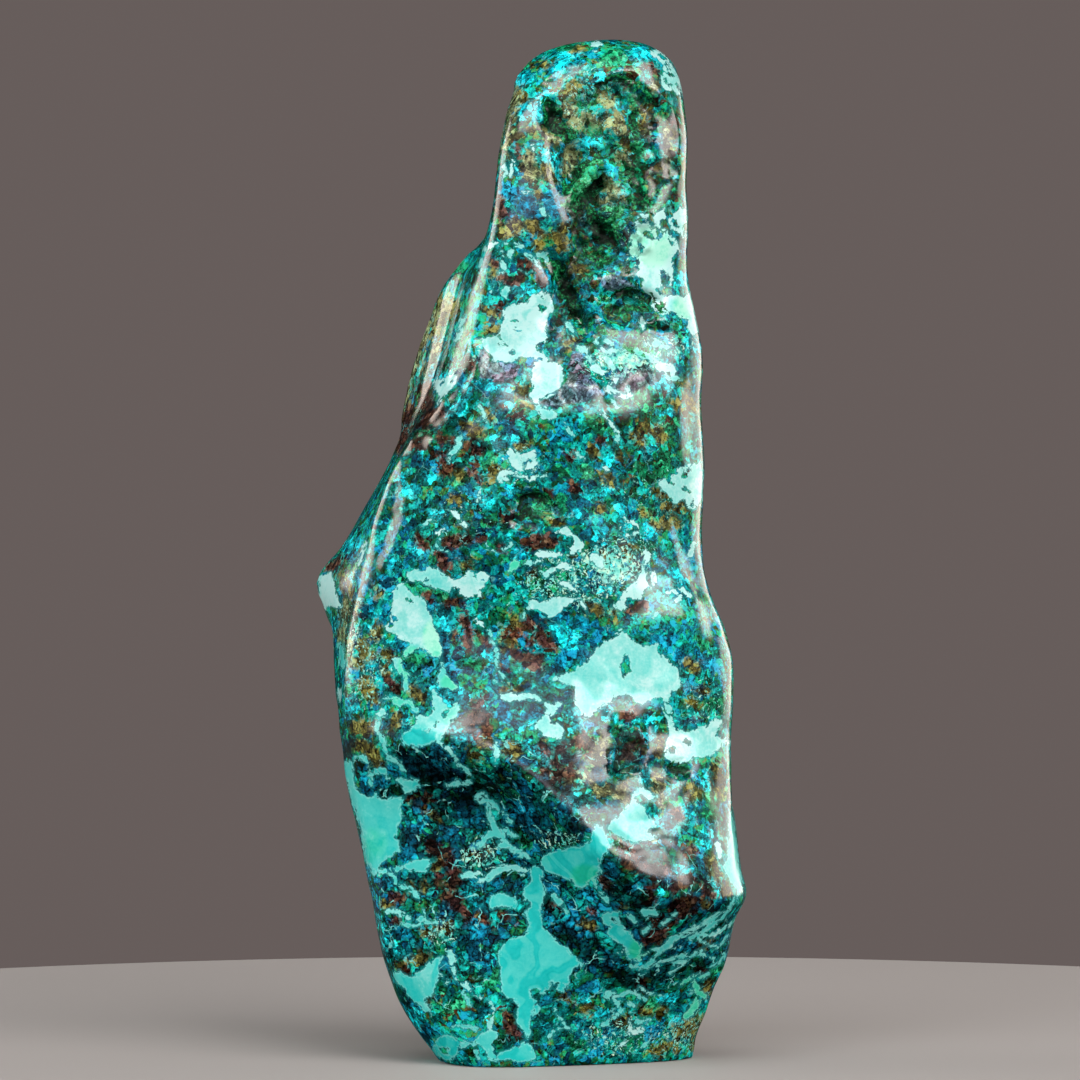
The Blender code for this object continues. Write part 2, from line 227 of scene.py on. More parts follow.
def depth_in_stroke(spots, half_width, path, wobble):
    """Depth in a stroke that swells in its middle, thins towards its ends and wobbles on the way."""
    away, along = distance_to_path(spots, path)
    swell = 1.0 if len(path) < 3 else STROKE_SWELL - STROKE_TAPER * np.abs(2 * along - 1) ** 2
    return half_width * swell * (1 + STROKE_WOBBLE * wobble) - away


def near_on_front(corners):
    """The vertices of the front that lie in or near the box around some points of the frame."""
    in_box = (on_frame > np.min(corners, axis=0) - REACH) & (on_frame < np.max(corners, axis=0) + REACH)
    return np.flatnonzero(in_box.all(axis=1) & (faces_front > FRONT_FROM))


def join(field, near, depth, tone_field=None, tone=0.0):
    """Joins a mark into a field, with its tone where it is the deepest mark so far."""
    wins = depth > field[near]
    field[near[wins]] = depth[wins]
    if tone_field is not None:
        tone_field[near[wins]] = tone


def lay_in(field, near, depth, tone_field=None, tone=0.0):
    """Joins a mark of the front into a field, faded out where the surface turns away."""
    join(field, near, depth - TURN_FADE * np.clip(TURNS_AWAY - faces_front[near], 0, 1), tone_field, tone)


def lay_patch(corners, tone):
    """Lays a pale patch in by its corners on the frame."""
    near = near_on_front(corners)
    lay_in(pale, near, depth_in_polygon(on_frame[near], corners) * STEP_MM, pale_tone, tone)


def lay_stroke(field, half_width, path, tone_field=None, tone=0.0):
    """Lays a stroke in by its half-width and its path, both in steps of the frame."""
    near = near_on_front(path)
    depth = depth_in_stroke(on_frame[near], half_width, path, wobble[near]) * STEP_MM
    lay_in(field, near, depth, tone_field, tone)


def lay_marks(name, field, marks):
    """Lays a group of strokes in. Each mark is a half-width and the points of its path."""
    for half_width, *path in marks:
        lay_stroke(field, half_width, path)
    print(name, "marks:", len(marks))


def cut_hole(field, near, depth):
    """Cuts a mark out of a field on the front."""
    field[near] = np.minimum(field[near], -depth)


def empty_field(value=FAR_OUTSIDE):
    """One number for each vertex, the same everywhere to begin with."""
    return np.full(len(places), value)


def gentle_noise(spots, size, seed):
    """Smooth noise of about -1 to 1 at each row of spots, with lumps of the given size."""
    return np.array([noise.noise(Vector(spot)) for spot in spots / size + seed]) * NOISE_STRETCH


surface_mm = places / MM
wobble = gentle_noise(surface_mm, 2.6, 3.7)
print("wobble from", round(float(wobble.min()), 2), "to", round(float(wobble.max()), 2))

# %% [markdown]
# ## The pale chrysocolla
#
# The eye goes first to the pale patches: gel-like chrysocolla that filled the gaps of the broken rock. A
# patch is drawn by its corners, in steps of the camera's frame, and has a tone, from 0 for nearly white to 1
# for full turquoise. The crown and the neck have whitish ones that hang from the right edge like torn cloth.
# Their whiter tone high up is partly the gel's own colour and partly painted top light.

# %% Draw the pale patches of the crown and neck
CROWN_PATCHES = (
    (0.05, (652, 50), (658, 48), (665, 56), (672, 66), (676, 74), (682, 82), (687, 90), (690, 101), (685, 99),
     (682, 92), (676, 95), (672, 90), (666, 92), (662, 86), (660, 78), (664, 72), (660, 66), (656, 60),
     (652, 56)),
    (0.02, (634, 222), (641, 212), (646, 214), (647, 220), (655, 216), (662, 210), (666, 207), (663, 214),
     (668, 218), (675, 214), (680, 208), (686, 210), (687, 230), (686, 240), (680, 232), (674, 228),
     (668, 232), (676, 238), (679, 245), (679, 252), (672, 258), (671, 268), (673, 276), (670, 285),
     (668, 276), (662, 270), (660, 280), (662, 287), (655, 289), (662, 296), (668, 297), (676, 294),
     (684, 297), (690, 292), (692, 302), (696, 315), (700, 325), (699, 335), (693, 334), (686, 326),
     (690, 320), (684, 318), (676, 314), (668, 313), (660, 313), (652, 309), (650, 300), (646, 293),
     (641, 286), (643, 280), (638, 277), (632, 272), (635, 266), (640, 262), (637, 255), (632, 256),
     (628, 250), (633, 246), (630, 240), (634, 234), (640, 228)),
    (0.02, (503, 311), (508, 305), (518, 304), (527, 303), (530, 297), (536, 293), (546, 292), (550, 294),
     (553, 300), (554, 308), (550, 314), (546, 321), (545, 330), (547, 336), (545, 341), (537, 345),
     (536, 350), (543, 352), (548, 358), (545, 360), (535, 359), (528, 357), (518, 358), (512, 362),
     (500, 361), (494, 359), (488, 352), (482, 345), (481, 340), (486, 337), (494, 336), (500, 337),
     (501, 328), (504, 318)),
    (0.0, (534, 366), (540, 360), (556, 362), (562, 367), (564, 378), (562, 385), (557, 392), (550, 394),
     (546, 397), (540, 399), (535, 404), (530, 397), (531, 390), (534, 384), (530, 378), (531, 370)),
    (0.15, (537, 405), (545, 408), (554, 411), (557, 417), (551, 419), (542, 418), (537, 411)),
    (0.0, (434, 382), (440, 379), (446, 378), (452, 374), (457, 377), (459, 383), (455, 388), (448, 393),
     (443, 400), (439, 405), (437, 401), (440, 396), (436, 391), (434, 386)),
)

print("patches of the crown:", len(CROWN_PATCHES))

# %% [markdown]
# The largest patch is a whitish star in the middle. Smaller ones lie around it.

# %% Draw the pale patches of the middle
MIDDLE_PATCHES = (
    (0.12, (684, 466), (690, 465), (700, 462), (703, 480), (703, 500), (698, 505), (692, 509), (688, 505),
     (686, 498), (678, 503), (673, 505), (670, 495), (663, 490), (657, 484), (662, 480), (672, 478),
     (671, 473), (678, 470)),
    (0.02, (505, 451), (512, 448), (517, 453), (524, 453), (533, 450), (538, 455), (534, 460), (540, 464),
     (534, 468), (527, 471), (519, 473), (513, 466), (509, 460)),
    (0.2, (406, 572), (415, 570), (425, 570), (430, 566), (438, 570), (444, 576), (450, 579), (456, 584),
     (450, 588), (452, 594), (444, 590), (436, 588), (428, 585), (420, 580), (412, 582), (408, 578)),
    (0.0, (446, 577), (454, 580), (460, 578), (466, 575), (469, 571), (474, 576), (479, 580), (488, 584),
     (484, 587), (478, 590), (482, 596), (472, 595), (466, 597), (461, 593), (456, 587), (448, 583)),
    (0.08, (398, 586), (402, 583), (406, 584), (409, 590), (415, 592), (420, 597), (426, 604), (428, 612),
     (431, 620), (434, 626), (438, 631), (440, 642), (441, 652), (438, 658), (430, 655), (424, 650),
     (418, 646), (410, 642), (400, 638), (394, 634), (385, 632), (384, 628), (390, 622), (392, 615),
     (391, 606), (394, 600), (393, 592)),
    (0.35, (440, 656), (444, 668), (450, 678), (460, 688), (452, 691), (442, 687), (436, 682), (438, 676),
     (441, 670)),
    (0.08, (528, 604), (532, 600), (538, 603), (546, 601), (556, 598), (564, 597), (574, 599), (570, 604),
     (562, 608), (556, 614), (550, 617), (545, 613), (538, 609), (530, 608)),
    (0.02, (622, 594), (630, 588), (636, 582), (640, 574), (643, 566), (646, 572), (647, 582), (650, 588),
     (644, 592), (640, 598), (634, 600), (628, 598), (622, 603), (626, 607), (622, 612), (616, 609),
     (612, 607), (617, 600)),
    (0.02, (319, 577), (330, 572), (334, 582), (336, 592), (339, 602), (342, 607), (334, 606), (330, 604),
     (325, 610), (321, 604), (319, 590)),
    (0.13, (553, 679), (560, 675), (568, 674), (575, 671), (577, 667), (583, 668), (586, 662), (592, 656),
     (595, 650), (602, 643), (608, 639), (616, 637), (619, 632), (622, 629), (625, 633), (630, 638),
     (634, 642), (642, 645), (650, 647), (658, 644), (659, 650), (661, 656), (668, 661), (674, 666),
     (680, 669), (679, 678), (681, 685), (676, 690), (670, 690), (668, 698), (664, 706), (662, 697),
     (655, 698), (648, 701), (645, 707), (640, 703), (634, 699), (628, 694), (622, 697), (616, 695),
     (612, 701), (605, 704), (598, 709), (592, 714), (586, 719), (582, 712), (577, 705), (574, 699),
     (575, 692), (576, 686), (568, 684), (560, 682)),
    (0.05, (668, 722), (674, 728), (680, 730), (690, 733), (700, 727), (706, 727), (712, 722), (718, 718),
     (723, 722), (718, 728), (716, 735), (724, 738), (728, 738), (731, 745), (724, 743), (722, 748),
     (714, 752), (708, 757), (702, 758), (694, 756), (690, 760), (684, 762), (676, 764), (670, 760),
     (664, 756), (666, 750), (668, 742), (670, 735)),
    (0.12, (537, 722), (545, 716), (548, 708), (543, 702), (536, 699), (526, 698), (518, 700), (508, 700),
     (498, 696), (510, 694), (520, 695), (530, 692), (538, 695), (545, 702), (552, 705), (558, 702),
     (561, 705), (556, 711), (549, 716), (550, 722), (556, 724), (564, 730), (566, 734), (560, 738),
     (552, 738), (544, 735), (538, 730), (535, 726)),
)

print("patches of the middle:", len(MIDDLE_PATCHES))

# %% [markdown]
# Towards the foot the patches are turquoise, and some of them have swirls.

# %% Draw the pale patches of the foot and lay all of them in
FOOT_PATCHES = (
    (0.22, (433, 690), (438, 696), (444, 702), (450, 710), (455, 704), (457, 698), (459, 708), (456, 716),
     (450, 722), (446, 730), (442, 738), (436, 741), (434, 730), (424, 730), (412, 729), (416, 720),
     (420, 715), (428, 716), (434, 712), (433, 704), (431, 697)),
    (0.72, (403, 732), (412, 728), (424, 729), (437, 731), (437, 740), (430, 744), (422, 747), (412, 746),
     (405, 745), (401, 739)),
    (0.42, (345, 762), (350, 762), (353, 775), (354, 786), (360, 793), (368, 797), (376, 794), (380, 799),
     (388, 800), (396, 796), (404, 796), (402, 802), (400, 812), (401, 820), (397, 826), (398, 834),
     (394, 838), (399, 842), (400, 850), (394, 854), (388, 858), (382, 864), (376, 869), (373, 875),
     (370, 868), (366, 862), (364, 850), (362, 838), (360, 825), (356, 812), (351, 800), (347, 785),
     (343, 770)),
    (0.45, (400, 777), (408, 778), (416, 781), (424, 786), (416, 788), (410, 792), (404, 792), (402, 785),
     (396, 780)),
    (0.4, (391, 869), (397, 866), (405, 864), (413, 861), (422, 860), (431, 860), (430, 866), (425, 871),
     (415, 871), (405, 870), (396, 871)),
    (0.52, (394, 972), (400, 972), (405, 976), (412, 977), (420, 972), (425, 967), (432, 962), (438, 956),
     (445, 954), (446, 958), (440, 962), (438, 970), (440, 976), (438, 980), (434, 988), (432, 994),
     (428, 998), (424, 1002), (428, 1006), (432, 1012), (425, 1011), (418, 1004), (410, 998), (404, 990),
     (398, 984), (394, 980)),
    (0.75, (438, 1038), (444, 1034), (452, 1036), (458, 1041), (460, 1048), (456, 1055), (450, 1062),
     (444, 1060), (437, 1055), (432, 1050), (435, 1044)),
    (0.35, (457, 1040), (466, 1042), (474, 1042), (480, 1038), (483, 1032), (490, 1030), (497, 1032),
     (498, 1036), (492, 1042), (492, 1048), (494, 1054), (500, 1062), (488, 1060), (484, 1050), (478, 1044),
     (470, 1046), (462, 1049)),
    (0.66, (543, 868), (541, 860), (546, 855), (553, 851), (565, 849), (580, 846), (590, 842), (592, 832),
     (597, 824), (604, 828), (607, 836), (609, 846), (607, 853), (601, 857), (600, 866), (601, 872),
     (594, 878), (588, 884), (580, 888), (575, 886), (573, 880), (566, 878), (560, 876), (552, 873)),
    (0.6, (543, 868), (541, 880), (545, 890), (542, 902), (541, 915), (543, 926), (550, 936), (560, 944),
     (568, 950), (576, 958), (582, 966), (574, 968), (569, 975), (568, 984), (564, 991), (560, 993),
     (556, 985), (550, 988), (546, 991), (541, 994), (536, 989), (530, 991), (531, 997), (538, 1002),
     (541, 1006), (536, 1014), (531, 1024), (530, 1036), (527, 1040), (523, 1030), (516, 1022), (518, 1010),
     (517, 1002), (510, 998), (503, 993), (501, 980), (499, 965), (498, 955), (502, 946), (510, 940),
     (520, 937), (527, 931), (529, 922), (526, 912), (530, 905), (524, 897), (524, 888), (532, 881),
     (529, 870), (535, 866)),
    (0.6, (500, 1052), (508, 1050), (518, 1046), (526, 1042), (531, 1044), (534, 1052), (538, 1058),
     (530, 1061), (515, 1061), (505, 1061), (498, 1061), (495, 1056)),
    (0.5, (491, 898), (496, 894), (505, 894), (514, 897), (519, 902), (517, 908), (510, 909), (503, 907),
     (496, 907), (491, 911), (490, 904)),
    (0.22, (607, 828), (612, 821), (618, 817), (622, 812), (628, 806), (633, 803), (640, 805), (645, 810),
     (650, 816), (654, 823), (656, 828), (650, 828), (649, 834), (658, 834), (657, 838), (648, 840),
     (640, 842), (630, 843), (622, 838), (614, 834)),
    (0.6, (602, 916), (606, 912), (612, 911), (620, 912), (618, 920), (624, 930), (632, 934), (636, 940),
     (642, 946), (640, 956), (634, 962), (628, 957), (624, 950), (620, 942), (612, 938), (607, 934),
     (610, 928), (604, 922)),
    (0.3, (730, 810), (733, 818), (736, 832), (739, 845), (739, 860), (741, 872), (743, 885), (741, 895),
     (737, 898), (737, 890), (733, 884), (729, 880), (725, 872), (722, 868), (724, 862), (728, 858),
     (727, 845), (729, 835), (728, 825)),
)
# The tones hold the patches' own colour and, high up, part of a painted top light.
pale, pale_tone = empty_field(), empty_field(0.3)
for tone, *corners in CROWN_PATCHES + MIDDLE_PATCHES + FOOT_PATCHES:
    lay_patch(corners, tone)
print("pale patches:", len(CROWN_PATCHES) + len(MIDDLE_PATCHES) + len(FOOT_PATCHES))

# %% [markdown]
# ## Pale arms and veins
#
# Narrow arms and veins of the same gel run between the patches. They are strokes: a half-width and the
# points that the stroke runs through. They are grouped by their tone. The noise on their edges makes them
# look a little wider than drawn, which `ARM_SHARE` makes up for.

# %% Lay in the pale arms and veins, by tone
ARM_SHARE = 0.85
PALE_STROKES = {
    0.02: (
        (3, (593, 46), (598, 43)), (2.5, (594, 52)), (2.5, (504, 164), (506, 172), (503, 178)),
        (2, (510, 175), (514, 160)), (2, (524, 193), (530, 192)), (1.8, (532, 145), (534, 150)),
        (2, (484, 250), (488, 246), (500, 244)), (4, (596, 368), (603, 372)), (5, (660, 366), (672, 370)),
        (2, (507, 472), (518, 475), (530, 479), (537, 478)),
        (2, (498, 478), (501, 482), (505, 479), (513, 482)), (2, (500, 476), (505, 472)),
        (2.5, (451, 508), (455, 513), (459, 518)), (2, (461, 522), (466, 526)), (2.5, (438, 533), (444, 529)),
        (1.5, (598, 407), (604, 415), (612, 424), (618, 432)),
        (1.8, (612, 395), (608, 390), (612, 383), (618, 378)), (1.5, (614, 392), (625, 397)),
        (1.8, (628, 388), (630, 394)), (2, (604, 468), (607, 470)), (2.5, (538, 555), (560, 554)),
        (2.5, (556, 568), (566, 563), (570, 570)), (3, (560, 566), (572, 568)),
        (2.5, (556, 532), (566, 530), (572, 536)), (3, (574, 536), (578, 545), (582, 552)),
        (3, (580, 545), (572, 550)), (4, (592, 556), (597, 560), (602, 566)),
        (2.5, (560, 582), (570, 586), (576, 592)), (2, (578, 598), (584, 606), (588, 614)),
        (3, (645, 562), (648, 554)), (3, (654, 574), (656, 582)), (2, (668, 593), (676, 591)),
        (3, (676, 600), (680, 597)), (2, (683, 590), (690, 596)), (2.5, (628, 535), (642, 532)),
        (1.8, (621, 516), (628, 521), (637, 524), (643, 531)), (3, (476, 620), (483, 624)),
        (3, (481, 575), (487, 578)), (3, (690, 555), (694, 545)), (1.5, (366, 542), (362, 556), (358, 568)),
        (1.8, (339, 690), (340, 700)), (2, (630, 1020), (632, 1034)), (3, (632, 1033), (641, 1031)),
        (3, (718, 846), (720, 857)), (1.5, (715, 936), (719, 930)), (1.8, (626, 1040), (620, 1047)),
        (2, (692, 300), (697, 318)), (2.4, (642, 322), (644, 329)),
    ),
    0.25: (
        (1.8, (656, 957), (668, 948), (680, 936), (700, 926), (724, 912), (738, 901)),
        (2, (676, 941), (684, 934)), (1.5, (641, 975), (652, 966), (664, 962), (688, 954)),
        (1.5, (688, 956), (704, 955), (718, 960)), (1.5, (670, 974), (678, 966), (690, 958), (702, 950)),
        (1.2, (690, 931), (708, 936), (722, 930), (736, 920)), (1.2, (612, 956), (624, 950), (634, 958)),
        (1.2, (640, 958), (652, 950), (664, 946)), (1, (660, 926), (676, 914)),
        (1.2, (602, 990), (612, 996), (622, 998), (634, 1006)), (1, (640, 988), (652, 994), (664, 996)),
        (1, (700, 940), (712, 946), (726, 944)), (1, (628, 968), (640, 962)),
        (1.4, (716, 950), (728, 938), (736, 926)),
    ),
    0.2: (
        (1.5, (500, 244), (510, 242), (518, 245), (524, 248)),
        (2, (500, 248), (503, 256), (508, 258), (512, 250)), (2.5, (503, 262), (504, 268), (500, 272)),
        (2.5, (524, 252), (532, 256), (540, 266)), (2.5, (536, 255), (546, 254), (547, 262)),
        (1.5, (541, 207), (543, 212), (549, 217)), (3, (502, 292), (506, 290), (504, 297)),
        (1.8, (482, 260), (481, 265)), (1.5, (490, 292), (493, 285)), (2, (542, 156), (548, 152)),
        (3, (461, 325), (464, 320)), (1.8, (456, 340), (462, 330)), (3, (578, 346), (586, 352), (592, 360)),
        (2, (592, 338), (600, 346), (604, 352), (618, 350), (628, 347)),
        (4, (634, 349), (646, 355), (656, 362)), (3, (606, 340), (612, 344)),
        (3, (640, 345), (656, 344), (668, 348)), (2, (668, 376), (680, 380)), (3, (606, 358), (612, 366)),
        (2.5, (566, 318), (571, 328), (575, 334)), (2, (448, 462), (451, 456), (455, 450), (460, 444)),
        (2, (458, 440), (461, 436)), (1.3, (478, 405), (484, 413), (486, 425)), (1.5, (425, 524), (430, 520)),
        (1.5, (481, 490), (478, 500)), (1.5, (562, 420), (566, 426), (570, 432), (573, 436)),
        (1.3, (576, 452), (584, 460)), (2, (616, 436), (619, 440)), (1.5, (610, 398), (618, 408)),
        (1.5, (537, 478), (548, 475)), (1.5, (485, 545), (492, 552)), (2, (505, 548), (510, 545)),
        (2, (524, 564), (536, 562), (545, 560)), (2, (545, 575), (552, 570)), (1.5, (600, 578), (610, 582)),
        (1.5, (527, 606), (524, 614), (522, 620)), (2.5, (653, 617), (657, 613)),
        (3, (405, 655), (412, 648), (420, 646), (430, 648)), (5, (397, 663), (399, 670)),
        (3, (664, 700), (668, 712), (672, 726)), (2.5, (497, 742), (497, 755), (495, 765)),
        (3, (374, 716), (382, 712), (388, 716)), (1.5, (437, 741), (446, 746), (452, 753)),
        (3, (462, 876), (470, 875), (478, 873)),
        (2.5, (478, 882), (488, 879), (494, 872), (504, 868), (514, 868), (526, 871)),
        (2.5, (633, 803), (634, 796), (640, 790), (645, 792), (650, 797), (656, 797)),
        (2.5, (386, 912), (398, 911), (404, 915), (410, 918)), (1.8, (448, 950), (450, 960), (454, 975)),
        (2, (440, 975), (448, 980), (446, 984)), (1.8, (455, 978), (465, 985), (474, 993), (482, 998)),
        (2, (485, 998), (492, 1004), (491, 1015), (490, 1030)), (3, (448, 952), (452, 960)),
    ),
    0.4: (
        (3, (380, 700), (390, 697), (400, 703), (410, 702), (417, 712)),
        (3, (405, 672), (407, 682), (406, 690)),
        (2.5, (378, 722), (376, 730), (381, 738), (384, 748), (388, 758), (398, 764), (404, 770)),
        (2.5, (388, 755), (396, 762)), (2, (355, 757), (362, 756), (368, 762)),
        (2.5, (370, 775), (376, 771), (384, 772), (388, 778)), (2, (372, 778), (371, 785)),
        (1.8, (376, 872), (385, 871), (392, 875), (398, 883), (405, 887), (412, 890), (418, 897)),
        (2, (422, 908), (425, 914), (421, 920), (428, 922), (436, 922)),
        (1.5, (402, 924), (412, 926), (420, 925)), (1.5, (462, 993), (468, 1000), (470, 1010)),
        (1.8, (475, 1046), (479, 1058)), (2, (452, 1028), (460, 1025), (470, 1026), (478, 1030), (482, 1036)),
        (3, (448, 785), (458, 783)), (4, (489, 808), (491, 820)), (3.5, (492, 820), (497, 832), (505, 842)),
        (3.5, (486, 838), (494, 832)), (3, (478, 848), (484, 840)), (4.5, (500, 845), (512, 848)),
        (2.5, (512, 848), (522, 854), (530, 858)), (2.5, (500, 828), (510, 832), (516, 838)),
        (1.6, (480, 803), (486, 799), (494, 802), (500, 810)), (1.5, (476, 798), (482, 793), (488, 797)),
        (1.3, (502, 812), (510, 822)), (1.5, (465, 783), (470, 782)),
        (1.5, (453, 755), (458, 765), (466, 770), (470, 776)), (4, (511, 568), (516, 564)),
        (1.4, (487, 626), (492, 640), (496, 650), (496, 662), (500, 672), (504, 677)),
        (1.2, (495, 680), (497, 690)),
        (2.2, (737, 897), (730, 908), (722, 918), (712, 924), (704, 930), (694, 937)),
        (3, (696, 936), (690, 938)), (3, (684, 936), (674, 938), (666, 946), (660, 953), (652, 960)),
        (2, (690, 955), (680, 958), (672, 968)), (2, (640, 970), (648, 964), (656, 961)),
        (1.8, (640, 958), (634, 970)), (3, (644, 912), (656, 913)), (2, (650, 926), (644, 932)),
        (2.5, (628, 914), (636, 922)), (2, (725, 955), (720, 962), (710, 967)),
        (2.5, (680, 985), (688, 980), (694, 976)), (3, (690, 990), (698, 992), (704, 996)),
        (4, (698, 1000), (692, 1010), (686, 1016)), (2.5, (700, 978), (708, 974)),
        (3, (694, 980), (698, 990)), (2.5, (606, 995), (612, 998), (618, 1004), (622, 1010)),
        (2, (605, 994), (614, 992)), (2, (618, 997), (628, 992), (638, 995), (645, 1000)),
        (1.5, (622, 1010), (614, 1018)), (2, (636, 1022), (650, 1020)), (1.5, (603, 1025), (608, 1022)),
        (1.5, (640, 1048), (650, 1042)), (1.4, (555, 1010), (562, 1020), (566, 1028), (572, 1028)),
        (1.3, (548, 1038), (556, 1030), (564, 1027)), (3, (341, 646), (343, 665)),
        (1.5, (560, 900), (568, 912)), (3, (554, 896), (558, 902)),
        (1.6, (443, 535), (436, 545), (446, 551), (452, 556)), (2, (600, 893), (608, 900)),
        (2, (590, 875), (598, 888)),
    ),
}
stroke_count = 0
for tone, strokes in PALE_STROKES.items():
    for half_width, *path in strokes:
        lay_stroke(pale, ARM_SHARE * half_width, path, pale_tone, tone)
        stroke_count += 1
print("pale strokes:", stroke_count)

# %% [markdown]
# ## Inclusions in the pale patches
#
# Slivers of the dark rock were caught in the gel. They are cut out of the pale field again.

# %% Cut the inclusions out
STAR_WINDOW = (
    (624, 653), (628, 654), (631, 664), (633, 670), (627, 672), (625, 679), (622, 676), (621, 668),
    (618, 667), (622, 662),
)
INCLUSIONS = (
    (3, (650, 222), (655, 228)), (3.5, (663, 221), (668, 227)), (2.5, (674, 221), (678, 227)),
    (3, (648, 233), (652, 237)), (2.5, (658, 229), (663, 234)), (2.5, (676, 256), (682, 262)),
    (2, (684, 222), (686, 236)), (4, (680, 276), (685, 284)), (2.5, (640, 244), (643, 250)),
    (2, (668, 238), (672, 244)), (2.5, (640, 218), (643, 222)), (2, (541, 306), (543, 310)),
    (1.5, (543, 297), (543, 299)), (1.5, (511, 321), (515, 322)), (1.5, (514, 327), (521, 331)),
    (2.2, (499, 341), (505, 346)), (2, (511, 352), (513, 352)), (1.2, (443, 382), (440, 384)),
    (1.2, (452, 382), (455, 379)), (5, (651, 222), (653, 226)), (3.5, (658, 233), (660, 236)),
    (2.5, (641, 221), (643, 223)), (3, (668, 275), (667, 285)), (2.5, (634, 270), (636, 271)),
    (2, (508, 465), (508, 467)), (1.5, (521, 461), (524, 465)), (1.2, (530, 462), (528, 459)),
    (1.6, (393, 617), (396, 619)), (1.6, (391, 624), (391, 625)), (1.2, (407, 599), (408, 600)),
    (1.2, (410, 601), (411, 602)), (1.4, (411, 588), (415, 594)), (2, (443, 715), (447, 712)),
    (1.5, (436, 726), (438, 722)), (1.8, (685, 741), (689, 743)), (3, (672, 749), (673, 751)),
    (3, (443, 1050), (446, 1050)), (3.5, (551, 983), (556, 985)), (2.5, (533, 993), (540, 1000), (548, 1010)),
    (1, (536, 1005), (531, 1018), (531, 1030)), (1.6, (656, 60), (661, 66)), (1.4, (666, 64), (670, 70)),
    (1.8, (664, 80), (670, 84)), (1.5, (676, 84), (680, 90)), (1.4, (668, 74), (673, 76)),
    (1.3, (684, 92), (688, 98)), (1.2, (660, 54), (663, 58)), (2.2, (690, 470), (684, 476)),
    (1.8, (690, 492), (684, 488)), (1.6, (694, 500), (690, 506)), (1.5, (676, 472), (672, 476)),
    (1.6, (673, 484), (669, 482)), (1.2, (424, 578), (430, 582)), (1.4, (648, 832), (652, 828)),
    (1.6, (612, 918), (616, 922)),
)
near = near_on_front(STAR_WINDOW)
cut_hole(pale, near, depth_in_polygon(on_frame[near], list(STAR_WINDOW)) * STEP_MM)
for half_width, *path in INCLUSIONS:
    near = near_on_front(path)
    cut_hole(pale, near, depth_in_stroke(on_frame[near], half_width, path, wobble[near]) * STEP_MM)
print("inclusions:", 1 + len(INCLUSIONS))

# %% [markdown]
# ## The coloured fragments
#
# Between the pale patches lie fragments of other minerals. The larger ones are strokes, and the material
# adds the fine crumbs later. The first are of bright cyan chrysocolla, which is spread over the whole
# stone.

